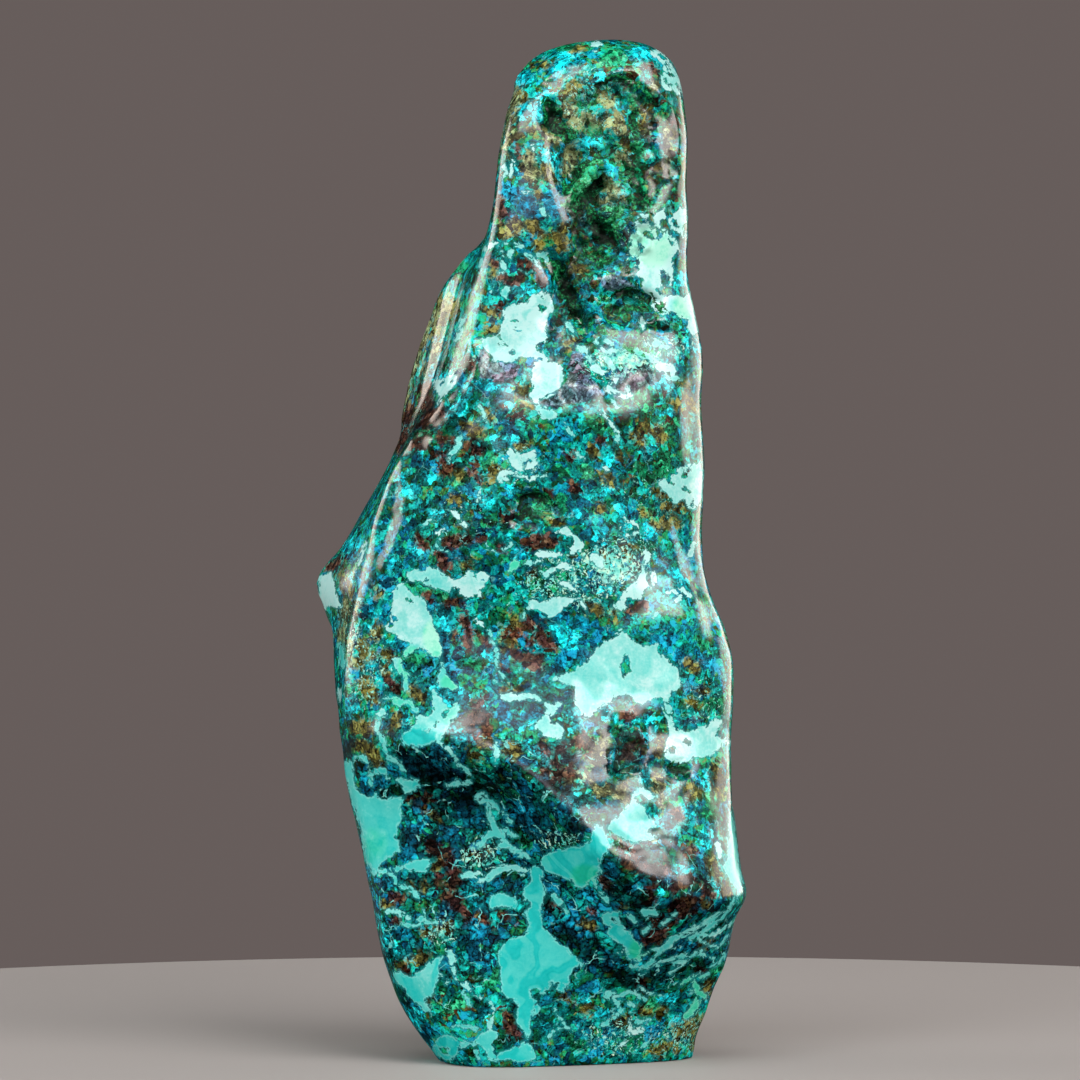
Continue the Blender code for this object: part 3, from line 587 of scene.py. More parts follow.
# %% Lay in the cyan fragments
cyan = empty_field()
CYAN_MARKS = (
    (9, (527, 110), (538, 112)), (6, (541, 146), (550, 160), (559, 176)), (5, (522, 81), (533, 79)),
    (4, (540, 95), (546, 93)), (5, (557, 71), (566, 66)), (3, (563, 57), (578, 56)),
    (4, (598, 78), (604, 80)), (3, (616, 104), (615, 112)), (4, (624, 159), (629, 158)),
    (3, (609, 170), (610, 172)), (3, (600, 199), (606, 198)), (4, (620, 194), (626, 194)),
    (3, (573, 142), (574, 144)), (4, (588, 142), (594, 143)), (3, (515, 168), (515, 172)),
    (4, (636, 53), (648, 56)), (4, (546, 284), (548, 287)), (6, (520, 292), (530, 290)),
    (4, (606, 326), (606, 335)), (7, (690, 338), (694, 346)), (5, (680, 280), (687, 278)),
    (4, (605, 270), (612, 266)), (5, (655, 383), (668, 386)), (3, (662, 413), (670, 412)),
    (5, (465, 391), (466, 398)), (6, (458, 408), (452, 414)), (5, (432, 371), (440, 376)),
    (4, (483, 386), (487, 388)), (4, (496, 384), (503, 389)), (4, (506, 403), (513, 408)),
    (5, (507, 440), (516, 444)), (4, (492, 438), (496, 446)), (4, (484, 501), (491, 503)),
    (4, (420, 453), (422, 457)), (6, (403, 484), (413, 492)), (4, (427, 477), (430, 479)),
    (4, (431, 513), (439, 517)), (5, (512, 491), (516, 494)), (5, (572, 513), (581, 517)),
    (4, (584, 495), (586, 500)), (4, (610, 454), (606, 463)), (5, (619, 504), (622, 512)),
    (4, (604, 492), (598, 496)), (3, (622, 526), (634, 525)), (6, (646, 528), (657, 533)),
    (7, (599, 539), (598, 547)), (3, (625, 540), (640, 541)), (6, (673, 572), (682, 580)),
    (4, (602, 592), (606, 589)), (3, (611, 563), (613, 566)), (4, (577, 582), (580, 585)),
    (3, (539, 593), (541, 596)), (5, (349, 545), (353, 543)), (5, (370, 628), (374, 626)),
    (4, (375, 615), (378, 616)), (4, (393, 563), (398, 567)), (4, (417, 552), (419, 554)),
    (3, (350, 576), (350, 579)), (4, (337, 624), (342, 623)), (8, (440, 693), (462, 697)),
    (8, (556, 632), (570, 642)), (6, (443, 612), (444, 628)), (4, (488, 652), (495, 658)),
    (4, (532, 650), (539, 648)), (8, (455, 731), (463, 736)), (5, (482, 703), (483, 712)),
    (5, (571, 712), (578, 718)), (6, (534, 747), (542, 751)), (5, (566, 793), (571, 799)),
    (5, (576, 806), (580, 811)), (4, (520, 725), (532, 724)), (2.5, (566, 730), (580, 730)),
    (5, (402, 715), (406, 722)), (6, (649, 738), (652, 728)), (5, (645, 772), (648, 779)),
    (4, (706, 784), (708, 774)), (4, (686, 812), (688, 815)), (5, (605, 711), (609, 716)),
    (4, (634, 720), (649, 722)), (4, (707, 836), (704, 847)), (6, (680, 870), (686, 868)),
    (4, (700, 862), (708, 873), (716, 885), (720, 897)), (4, (660, 890), (658, 901)),
    (3, (639, 884), (637, 893)), (3, (660, 822), (663, 824)), (4, (404, 955), (412, 944)),
    (5, (396, 952), (406, 953)), (4, (482, 904), (486, 907)), (4, (462, 891), (468, 888)),
    (4, (468, 898), (474, 901)), (4, (580, 999), (586, 998)), (4, (610, 1016), (618, 1012)),
    (4, (676, 1022), (690, 1019)), (4, (700, 1004), (706, 1000)), (4, (662, 1001), (672, 999)),
    (5, (385, 935), (386, 948)), (3, (379, 915), (381, 926)), (4, (412, 1008), (420, 1012)),
    (2, (410, 1012), (418, 1030)), (4, (543, 1027), (547, 1029)), (4, (582, 1030), (584, 1033)),
    (4, (598, 1012), (606, 1014)), (3, (618, 850), (624, 856)), (4, (484, 1013), (486, 1019)),
    (4, (355, 700), (351, 712)), (4, (640, 964), (632, 950)), (4, (386, 640), (394, 643)),
    (4, (378, 676), (384, 672)), (4, (370, 667), (374, 664)), (3, (516, 557), (526, 553)),
    (5, (648, 455), (652, 448)), (3, (500, 548), (506, 540)), (4, (545, 764), (549, 762)),
    (4, (598, 880), (604, 884)),
)
lay_marks("cyan", cyan, CYAN_MARKS)

# %% [markdown]
# The deep blue fragments are chrysocolla too. They gather in the neck and in the lower half.

# %% Lay in the deep blue fragments
blue = empty_field()
BLUE_MARKS = (
    (7, (507, 188), (516, 196)), (9, (525, 200), (533, 210)), (8, (548, 200), (556, 208)),
    (4, (555, 189), (557, 192)), (5, (508, 218), (520, 217)), (4, (548, 318), (551, 325)),
    (4, (539, 276), (547, 277)), (4, (621, 338), (624, 340)), (4, (633, 231), (635, 234)),
    (4, (683, 248), (683, 254)), (4, (655, 131), (660, 135)), (4, (655, 143), (658, 146)),
    (3, (683, 144), (683, 149)), (5, (510, 426), (512, 433)), (4, (551, 433), (553, 437)),
    (5, (462, 486), (478, 497)), (4, (535, 467), (542, 469)), (4, (594, 471), (600, 466)),
    (4, (631, 461), (633, 465)), (4, (661, 563), (664, 567)), (5, (557, 617), (561, 616)),
    (5, (578, 620), (583, 623)), (6, (574, 650), (586, 656)), (5, (558, 661), (563, 664)),
    (5, (505, 712), (507, 714)), (6, (524, 717), (533, 713)), (5, (694, 773), (698, 781)),
    (9, (432, 757), (446, 752)), (7, (410, 764), (414, 770)), (6, (430, 770), (442, 771)),
    (5, (462, 812), (468, 816)), (6, (478, 816), (483, 820)), (8, (518, 806), (531, 812)),
    (6, (521, 824), (531, 829)), (5, (504, 811), (508, 816)), (6, (535, 828), (541, 835)),
    (5, (560, 811), (568, 808)), (5, (457, 850), (455, 854)), (5, (512, 854), (522, 861)),
    (5, (508, 889), (517, 886)), (5, (498, 884), (506, 881)), (6, (549, 880), (553, 889)),
    (5, (544, 914), (548, 921)), (8, (573, 921), (581, 927)), (5, (589, 894), (592, 897)),
    (6, (594, 910), (596, 916)), (5, (468, 937), (470, 945), (478, 954)), (6, (480, 955), (485, 962)),
    (5, (398, 931), (411, 937)), (4, (383, 880), (391, 884)), (4, (438, 917), (444, 919)),
    (5, (453, 905), (458, 908)), (7, (606, 957), (613, 963)), (4, (634, 960), (640, 962)),
    (6, (650, 1038), (656, 1031)), (5, (604, 1037), (609, 1029)), (5, (594, 985), (596, 989)),
    (6, (424, 1038), (430, 1028)), (5, (500, 1056), (506, 1058)), (5, (590, 1056), (598, 1052)),
    (5, (438, 640), (441, 652)), (5, (446, 662), (452, 672)), (5, (366, 612), (372, 606)),
    (5, (378, 592), (384, 584)), (4, (352, 555), (353, 560)), (5, (452, 552), (464, 558)),
    (5, (446, 690), (440, 700)), (5, (600, 672), (600, 674)), (4, (360, 575), (362, 582)),
    (5, (700, 660), (712, 668)), (5, (676, 652), (682, 660)), (6, (660, 640), (668, 646)),
    (5, (720, 680), (724, 684)), (6, (404, 858), (410, 850)), (5, (412, 835), (420, 829)),
    (5, (448, 832), (456, 838)), (5, (362, 782), (368, 788)), (5, (376, 783), (388, 782)),
    (5, (390, 770), (397, 774)), (5, (398, 640), (402, 648)), (6, (680, 940), (692, 948)),
    (5, (716, 934), (722, 936)), (5, (650, 962), (656, 970)), (5, (556, 955), (560, 960)),
    (5, (606, 870), (612, 876)), (4, (668, 881), (670, 885)), (4, (716, 905), (720, 900)),
    (6, (470, 924), (480, 930)),
)
lay_marks("blue", blue, BLUE_MARKS)

# %% [markdown]
# Limonite is an iron ore with the colour of rust. It fills gaps, mostly at the crown, along the left edge
# and low on the right.

# %% Lay in the ochre limonite
ochre = empty_field()
OCHRE_MARKS = (
    (5, (518, 93), (523, 99)), (4, (518, 137), (521, 137)), (4, (530, 129), (534, 133)),
    (4, (507, 153), (510, 156)), (4, (524, 167), (530, 178)), (6, (545, 168), (550, 180)),
    (5, (546, 133), (554, 139)), (3, (536, 191), (537, 194)), (3, (572, 99), (574, 101)),
    (5, (575, 86), (570, 92)), (3, (575, 52), (582, 48)), (3, (546, 65), (549, 66)),
    (6, (600, 97), (607, 102)), (7, (613, 124), (616, 118)), (4, (640, 122), (645, 130)),
    (4, (644, 109), (650, 114)), (4, (668, 130), (674, 136)), (4, (662, 168), (664, 172)),
    (4, (619, 153), (626, 148)), (3, (650, 181), (651, 184)), (8, (507, 231), (520, 226)),
    (6, (528, 222), (535, 231)), (4, (540, 232), (543, 235)), (4, (541, 244), (538, 250)),
    (6, (564, 229), (562, 246)), (4, (551, 234), (554, 237)), (5, (489, 330), (499, 331)),
    (4, (494, 273), (492, 268)), (3, (573, 267), (582, 272)), (3, (486, 310), (496, 313)),
    (4, (568, 343), (576, 339)), (3, (607, 311), (609, 314)), (5, (443, 317), (438, 327), (428, 338)),
    (4, (442, 299), (436, 312)), (3, (440, 345), (436, 352)), (5, (452, 304), (445, 316)),
    (3, (424, 343), (426, 347)), (4, (679, 381), (683, 385)), (5, (687, 399), (694, 409)),
    (4, (678, 402), (680, 406)), (3, (644, 423), (647, 426)), (5, (651, 430), (662, 436)),
    (5, (634, 436), (640, 440)), (6, (464, 425), (478, 430)), (4, (486, 410), (490, 418)),
    (4, (479, 432), (483, 434)), (4, (521, 387), (525, 395)), (3, (523, 405), (527, 405)),
    (4, (518, 449), (525, 446)), (4, (454, 499), (458, 500)), (3, (461, 526), (465, 526)),
    (4, (462, 565), (471, 562)), (4, (591, 449), (598, 453)), (4, (620, 454), (624, 457)),
    (4, (603, 475), (611, 478)), (4, (657, 489), (662, 495)), (5, (667, 508), (681, 503)),
    (6, (676, 519), (667, 524)), (4, (653, 525), (657, 526)), (3, (641, 511), (644, 514)),
    (4, (597, 507), (599, 510)), (3, (549, 520), (559, 523)), (5, (625, 550), (636, 547)),
    (5, (631, 558), (634, 564)), (4, (596, 609), (601, 615)), (4, (587, 604), (587, 611)),
    (3, (530, 575), (537, 570)), (4, (603, 556), (608, 556)), (4, (348, 589), (352, 601)),
    (5, (344, 604), (348, 613)), (4, (341, 573), (344, 578)), (4, (377, 588), (379, 594)),
    (6, (361, 644), (369, 656)), (4, (379, 622), (376, 634), (370, 637)), (5, (386, 654), (392, 658)),
    (5, (354, 658), (358, 664)), (4, (384, 668), (388, 672)), (7, (365, 684), (373, 697)),
    (6, (411, 689), (420, 696)), (7, (360, 727), (370, 728)), (6, (358, 746), (369, 747)),
    (7, (371, 754), (378, 762)), (4, (396, 717), (393, 726)), (4, (499, 690), (507, 689)),
    (3, (517, 690), (521, 690)), (6, (514, 618), (517, 624)), (7, (513, 630), (508, 642)),
    (5, (470, 752), (477, 756)), (6, (479, 746), (486, 739)), (6, (505, 747), (513, 753)),
    (2, (408, 801), (420, 806), (430, 812), (440, 820)), (4, (440, 861), (436, 868)),
    (6, (470, 858), (484, 852)), (3, (384, 904), (393, 908)), (3, (411, 887), (414, 889)),
    (3, (424, 885), (426, 889)), (6, (438, 931), (448, 925)), (4, (423, 930), (428, 931)),
    (4, (431, 955), (420, 958), (410, 962)), (4, (399, 965), (403, 967)), (3, (480, 915), (483, 917)),
    (4, (427, 998), (427, 1002)), (1.6, (538, 885), (540, 892), (540, 902)), (3, (508, 1020), (513, 1021)),
    (4, (566, 997), (569, 1002)), (4, (583, 1010), (588, 1011)), (7, (678, 1032), (692, 1027)),
    (4, (699, 1018), (702, 1022)), (5, (694, 1038), (697, 1043)), (4, (667, 1046), (674, 1045)),
    (4, (652, 1052), (659, 1053)), (3, (660, 1015), (664, 1010)), (3, (643, 1011), (647, 1013)),
    (2.5, (620, 908), (627, 906)), (4, (703, 946), (709, 942)), (4, (618, 1019), (626, 1024)),
    (4, (712, 858), (710, 869)), (4, (715, 873), (718, 878)), (3, (723, 891), (728, 893)),
    (5, (704, 991), (710, 984)), (4, (704, 904), (708, 906)), (5, (585, 923), (592, 927)),
    (6, (600, 751), (592, 745)), (6, (628, 779), (621, 791)), (5, (656, 778), (659, 788)),
    (5, (689, 789), (695, 796)), (5, (714, 766), (717, 778)), (4, (720, 790), (721, 795)),
    (5, (662, 741), (657, 751)), (6, (598, 791), (607, 788)), (4, (690, 702), (695, 705)),
    (5, (690, 665), (696, 668)), (4, (700, 690), (706, 692)), (4, (620, 608), (614, 614)),
    (5, (492, 478), (497, 470)), (4, (444, 470), (460, 474)),
)
lay_marks("ochre", ochre, OCHRE_MARKS)

# %% [markdown]
# The red-brown fragments are cuprite or hematite. The largest lie under the left ridge and the knob.

# %% Lay in the red-brown fragments
red = empty_field()
RED_MARKS = (
    (5, (500, 204), (504, 214)), (3, (517, 145), (517, 156)), (3, (521, 262), (529, 264)),
    (4, (504, 276), (509, 280)), (3, (517, 280), (521, 277)), (3.5, (498, 304), (500, 310)),
    (3, (493, 261), (496, 264)), (3, (540, 278), (543, 281)), (4, (531, 266), (534, 268)),
    (3, (650, 65), (656, 72)), (3, (676, 120), (678, 123)), (2.5, (629, 238), (632, 239)),
    (6, (423, 387), (426, 406)), (6, (412, 411), (407, 419)), (6, (418, 427), (428, 420), (441, 411)),
    (6, (406, 434), (397, 446)), (5, (414, 446), (421, 444)), (5, (440, 436), (451, 440)),
    (6, (438, 458), (446, 466)), (5, (473, 470), (480, 481)), (3, (472, 363), (474, 368)),
    (4, (498, 376), (512, 370)), (4, (575, 364), (583, 371)), (4, (547, 491), (550, 495)),
    (4, (503, 514), (507, 517)), (3, (571, 455), (575, 452)), (3, (598, 441), (602, 442)),
    (4, (514, 416), (520, 414)), (7, (445, 544), (464, 540)), (6, (440, 556), (448, 567)),
    (4, (419, 537), (426, 545)), (7, (528, 543), (550, 541)), (4, (501, 545), (504, 546)),
    (3, (479, 539), (482, 541)), (6, (539, 625), (542, 636), (553, 648)), (4, (528, 621), (532, 624)),
    (4, (526, 638), (529, 643)), (4, (508, 636), (517, 633)), (7, (516, 655), (535, 661)),
    (4, (500, 667), (505, 670)), (3, (426, 594), (429, 597)), (4, (450, 602), (456, 604)),
    (3.5, (461, 616), (465, 622)), (3, (455, 636), (458, 639)), (3.5, (468, 642), (470, 648)),
    (3, (469, 632), (472, 635)), (3.5, (486, 640), (490, 645)), (4, (642, 605), (628, 612)),
    (4, (545, 771), (553, 780)), (4, (553, 762), (558, 763)), (5, (561, 776), (570, 770)),
    (4, (541, 744), (546, 746)), (5, (579, 741), (586, 748)), (4, (557, 751), (563, 749)),
    (5, (412, 797), (427, 800)), (6, (430, 846), (447, 854)), (7, (451, 860), (455, 876), (450, 892)),
    (6, (444, 895), (455, 900), (463, 912)), (4, (464, 914), (467, 918)), (5, (438, 879), (443, 884)),
    (4, (395, 895), (399, 897)), (3.5, (497, 910), (505, 916), (512, 922)), (4, (485, 920), (490, 922)),
    (3, (553, 903), (557, 906)), (6, (627, 846), (633, 852)), (8, (631, 862), (642, 866)),
    (6, (650, 868), (661, 871)), (6, (676, 886), (690, 880)), (5, (704, 889), (713, 896)),
    (6, (652, 888), (650, 901)), (9, (690, 903), (675, 910)), (10, (662, 924), (652, 936)),
    (5, (688, 850), (694, 854)), (4, (700, 969), (704, 972)), (3, (592, 909), (596, 911)),
    (5, (508, 1028), (516, 1035)), (4, (504, 1012), (507, 1015)), (7, (468, 722), (482, 716)),
    (5, (484, 727), (489, 731)), (4, (473, 729), (477, 735)), (3, (395, 919), (398, 921)),
    (5, (340, 562), (332, 567)), (5, (395, 688), (390, 683)), (5, (636, 712), (626, 715)),
    (5, (640, 740), (626, 752)), (4, (676, 812), (680, 818)), (3, (404, 975), (407, 970)),
    (5, (600, 880), (606, 886)), (4, (640, 982), (646, 990)), (4, (470, 446), (478, 452)),
    (4, (570, 485), (578, 488)), (4, (484, 700), (476, 704)),
)
lay_marks("red", red, RED_MARKS)

# %% [markdown]
# Malachite is the purest green of the stone. On the polished surface there are only small pieces of it.

# %% Lay in the malachite
green = empty_field()
GREEN_MARKS = (
    (6, (636, 97), (644, 99)), (6, (631, 177), (641, 186)), (4, (600, 170), (590, 178), (580, 188)),
    (10, (584, 192), (596, 186)), (5, (603, 258), (611, 262)), (4, (637, 335), (646, 336)),
    (3, (583, 244), (586, 247)), (7, (648, 403), (640, 394)), (6, (654, 454), (666, 461)),
    (6, (639, 469), (649, 479)), (4, (583, 469), (588, 472)), (5, (418, 435), (427, 432)),
    (5, (558, 469), (566, 472)), (8, (534, 510), (545, 512)), (5, (664, 431), (676, 424)),
    (7, (411, 657), (423, 660)), (5, (404, 586), (416, 579)), (6, (680, 767), (686, 773)),
    (4, (647, 621), (651, 624)), (7, (650, 1010), (656, 1000)), (7, (452, 1006), (462, 1002)),
    (6, (518, 838), (526, 842)), (5, (562, 846), (570, 843)), (4, (629, 955), (634, 959)),
    (5, (692, 700), (698, 704)), (5, (711, 799), (708, 816)), (4, (731, 684), (731, 694)),
    (3, (733, 764), (733, 776)), (5, (436, 590), (444, 597)), (6, (500, 970), (492, 985)),
    (4, (440, 982), (441, 987)), (6, (570, 1040), (580, 1046)), (5, (486, 465), (494, 460)),
    (6, (600, 430), (592, 425)), (6, (640, 505), (648, 512)), (6, (560, 500), (566, 508)),
    (6, (668, 470), (662, 464)), (5, (570, 575), (560, 578)), (4, (350, 640), (351, 652)),
    (5, (470, 660), (478, 664)), (5, (470, 300), (464, 306)), (4, (462, 340), (458, 352)),
    (5, (456, 262), (464, 268)), (6, (606, 62), (618, 58)), (6, (562, 46), (572, 50)),
    (6, (640, 150), (636, 166)), (5, (660, 208), (650, 206)), (5, (700, 640), (708, 646)),
    (5, (710, 705), (718, 700)), (6, (720, 965), (712, 975)), (5, (396, 604), (397, 606)),
    (6, (455, 480), (460, 476)),
)
lay_marks("green", green, GREEN_MARKS)

# %% [markdown]
# Some of the rock is nearly black, in bands across the belly and low on the right, but most of these dark
# marks on the front are painted shade: the bands lie under the crest and under the knob, where the surface
# turns down, and the spots in the hollows and pits stand for their shaded crevices. A dark mark doesn't
# change the mineral, only its brightness.

# %% Lay in the dark ground and the painted shade
dark = empty_field()
DARK_ROCK_AND_SHADE_MARKS = (
    (3, (624, 732), (618, 752), (620, 768)), (3, (634, 728), (641, 746), (634, 764)),
    (2, (610, 746), (606, 768)), (2, (600, 116), (596, 134)), (2, (584, 104), (590, 92)),
    (7, (552, 107), (560, 112)), (4, (545, 117), (548, 120)), (3, (562, 124), (566, 133)),
    (5, (618, 89), (631, 82)), (8, (575, 216), (580, 205)), (10, (613, 242), (605, 224)),
    (8, (559, 267), (566, 292)), (7, (578, 309), (583, 321)), (4, (620, 300), (632, 297), (646, 300)),
    (4, (648, 324), (660, 328)), (2.5, (672, 341), (682, 345)), (4, (444, 366), (436, 370)),
    (4, (463, 363), (467, 369)), (5, (634, 419), (620, 414)), (4, (620, 429), (625, 432)),
    (4, (621, 465), (624, 470)), (5, (649, 461), (657, 471)), (4, (652, 478), (656, 480)),
    (4, (625, 506), (629, 511)), (4, (523, 503), (519, 521)), (3, (527, 499), (545, 497)),
    (9, (398, 754), (412, 763)), (9, (420, 776), (444, 777)), (9, (470, 790), (492, 786)),
    (8, (500, 780), (524, 774)), (9, (540, 790), (562, 786)), (8, (455, 800), (464, 803)),
    (6, (396, 790), (412, 789)), (8, (556, 836), (568, 838)), (5, (544, 900), (548, 905)),
    (8, (558, 934), (578, 946)), (7, (588, 952), (596, 960)), (9, (618, 975), (642, 986)),
    (9, (654, 978), (668, 974)), (8, (686, 972), (704, 964)), (8, (610, 892), (622, 886)),
    (7, (648, 880), (654, 886)), (7, (636, 905), (644, 908)), (6, (716, 912), (724, 908)),
    (7, (430, 1019), (424, 1034)), (4, (409, 1001), (402, 991)), (4, (386, 952), (392, 956)),
    (5, (468, 1009), (479, 1013)), (4, (481, 1001), (484, 1004)), (5, (498, 1039), (504, 1042)),
    (5, (468, 1050), (474, 1056)), (3, (512, 1002), (516, 1005)), (4, (518, 1049), (523, 1053)),
    (6, (718, 928), (724, 924)), (4, (486, 302), (484, 306)), (5, (474, 276), (466, 288)),
    (5, (500, 405), (492, 400)), (5, (476, 447), (482, 452)), (4, (388, 448), (384, 458)),
    (3, (672, 768), (680, 772)), (5, (352, 770), (358, 765)), (5, (384, 795), (392, 793)),
    (5, (350, 745), (347, 752)), (4, (574, 760), (566, 756)), (3, (420, 668), (432, 664)),
    (4, (386, 690), (394, 688)), (5, (570, 830), (580, 826)), (4, (640, 850), (646, 856)),
    (4, (700, 880), (706, 884)), (6, (420, 845), (430, 838)), (5, (440, 822), (450, 816)),
    (5, (590, 935), (598, 940)), (4, (660, 912), (668, 906)),
)
lay_marks("dark", dark, DARK_ROCK_AND_SHADE_MARKS)

# %% [markdown]
# Paler limonite is tan. It colours the side facet on the left and the lumps in the hollow. On the left flank
# its bright streaks are partly a painted highlight along the edge.

# %% Lay in the tan limonite
tan = empty_field()
TAN_MARKS = (
    (5, (514, 92), (513, 106), (509, 124)), (4, (508, 128), (506, 146)),
    (7, (532, 152), (527, 164), (538, 176)), (4, (548, 134), (556, 140)), (6, (568, 108), (574, 122)),
    (5, (602, 98), (609, 104)), (6, (613, 118), (620, 130)), (4, (590, 116), (596, 128)),
    (4, (572, 146), (567, 172)), (5, (618, 152), (626, 160)), (6, (604, 180), (616, 196), (624, 200)),
    (4, (596, 196), (606, 206)), (2, (664, 118), (668, 150), (664, 176)), (5, (652, 88), (658, 84)),
    # These flank streaks are partly a painted highlight.
    (5, (430, 322), (414, 362), (404, 398)), (4, (446, 300), (432, 326)), (3, (420, 352), (408, 384)),
    (3, (437, 342), (424, 372)), (3, (404, 408), (400, 428)), (4, (345, 602), (343, 640)),
    (3, (352, 640), (352, 664)), (6, (604, 742), (596, 760)), (5, (586, 776), (600, 790)),
    (6, (612, 790), (628, 800)), (5, (658, 786), (660, 800)), (5, (640, 830), (650, 838)),
    (4, (676, 740), (680, 756)), (5, (574, 768), (568, 780)),
)
lay_marks("tan", tan, TAN_MARKS)

# %% [markdown]
# Down in the broken hollows malachite has grown as a coat on the crevices. It gets a field of its own,
# because the material darkens it by depth, which is painted shade in the crevices.

# %% Lay in the malachite coat of the hollows
coat = empty_field()
COAT_MARKS = (
    (6, (550, 100), (551, 112), (555, 124)), (4, (560, 128), (567, 138)),
    (4, (600, 88), (614, 80), (634, 79)), (2, (640, 82), (648, 96)), (2, (597, 92), (590, 108)),
    (2, (633, 104), (635, 130), (633, 148)), (5, (600, 156), (584, 164), (572, 180), (567, 204)),
    (9, (594, 176), (584, 194), (574, 208)), (2, (618, 148), (606, 155)),
    (5, (622, 166), (630, 180), (638, 192)), (4, (628, 198), (648, 200), (664, 190)),
    (6, (592, 214), (602, 230), (602, 246)), (5, (620, 208), (612, 222), (610, 240)),
    (4, (584, 254), (606, 262)), (4, (552, 258), (558, 276), (566, 296), (578, 322)),
    (3, (604, 300), (630, 295), (652, 300), (662, 308)), (3, (612, 308), (640, 312)),
    (4, (522, 514), (522, 498), (540, 496), (550, 506)), (4, (676, 768), (684, 772)),
    (3, (602, 330), (612, 336)), (3, (628, 344), (648, 350)),
)
lay_marks("coat", coat, COAT_MARKS)

# %% [markdown]
# A few flat facets on the shoulder mirror the lilac light from above, and that reflection is painted here as
# a greyish lilac film. They have straight sides, so they are drawn by their corners.

# %% Lay in the painted lilac reflections
LILAC_REFLECTION_FACETS = (
    ((537, 404), (556, 407), (582, 402), (602, 395), (586, 367), (582, 352), (569, 360), (567, 380),
     (552, 392)),
    ((609, 391), (614, 380), (625, 360), (640, 357), (650, 367), (660, 382), (652, 385), (635, 392),
     (617, 402)),
    ((476, 357), (484, 347), (490, 360), (515, 362), (520, 367), (512, 380), (495, 380), (480, 377)),
    ((601, 279), (611, 273), (628, 281), (640, 291), (622, 294), (606, 290)),
)
lilac = empty_field()
for corners in LILAC_REFLECTION_FACETS:
    near = near_on_front(corners)
    lilac[near] = np.maximum(lilac[near], depth_in_polygon(on_frame[near], corners) * STEP_MM)
print("lilac facets:", len(LILAC_REFLECTION_FACETS))

# %% [markdown]
# ## Zones
#
# Some things change slowly over the stone: how coarse the rock's crumbs are, whether its ground leans to
# green or to blue, how light it is, where it is peppered with pale grains and where it is broken open instead
# of polished. How light it is holds painted light and shade too: its dips under the crest, under the knob and
# in the hollows are painted shade, and its rise on the left flank is partly a painted highlight. Each is a
# soft field made of ovals: a centre, half-axes, a tilt in degrees and a strength.

# %% Lay the zones in
ZONE_CORE = 0.5
ZONE_END = 1.3


def lay_zone(field, centre, half, tilt, strength):
    """Adds a soft oval on the frame to a field. A strength below zero takes away."""
    away = on_frame - centre
    turn = math.radians(tilt)
    across = away[:, 0] * math.cos(turn) - away[:, 1] * math.sin(turn)
    down = away[:, 1] * math.cos(turn) + away[:, 0] * math.sin(turn)
    reach = np.hypot(across / half[0], down / half[1])
    field += strength * (1 - ramp_up(reach, ZONE_CORE, ZONE_END)) * ramp_up(faces_front, -0.1, 0.15)


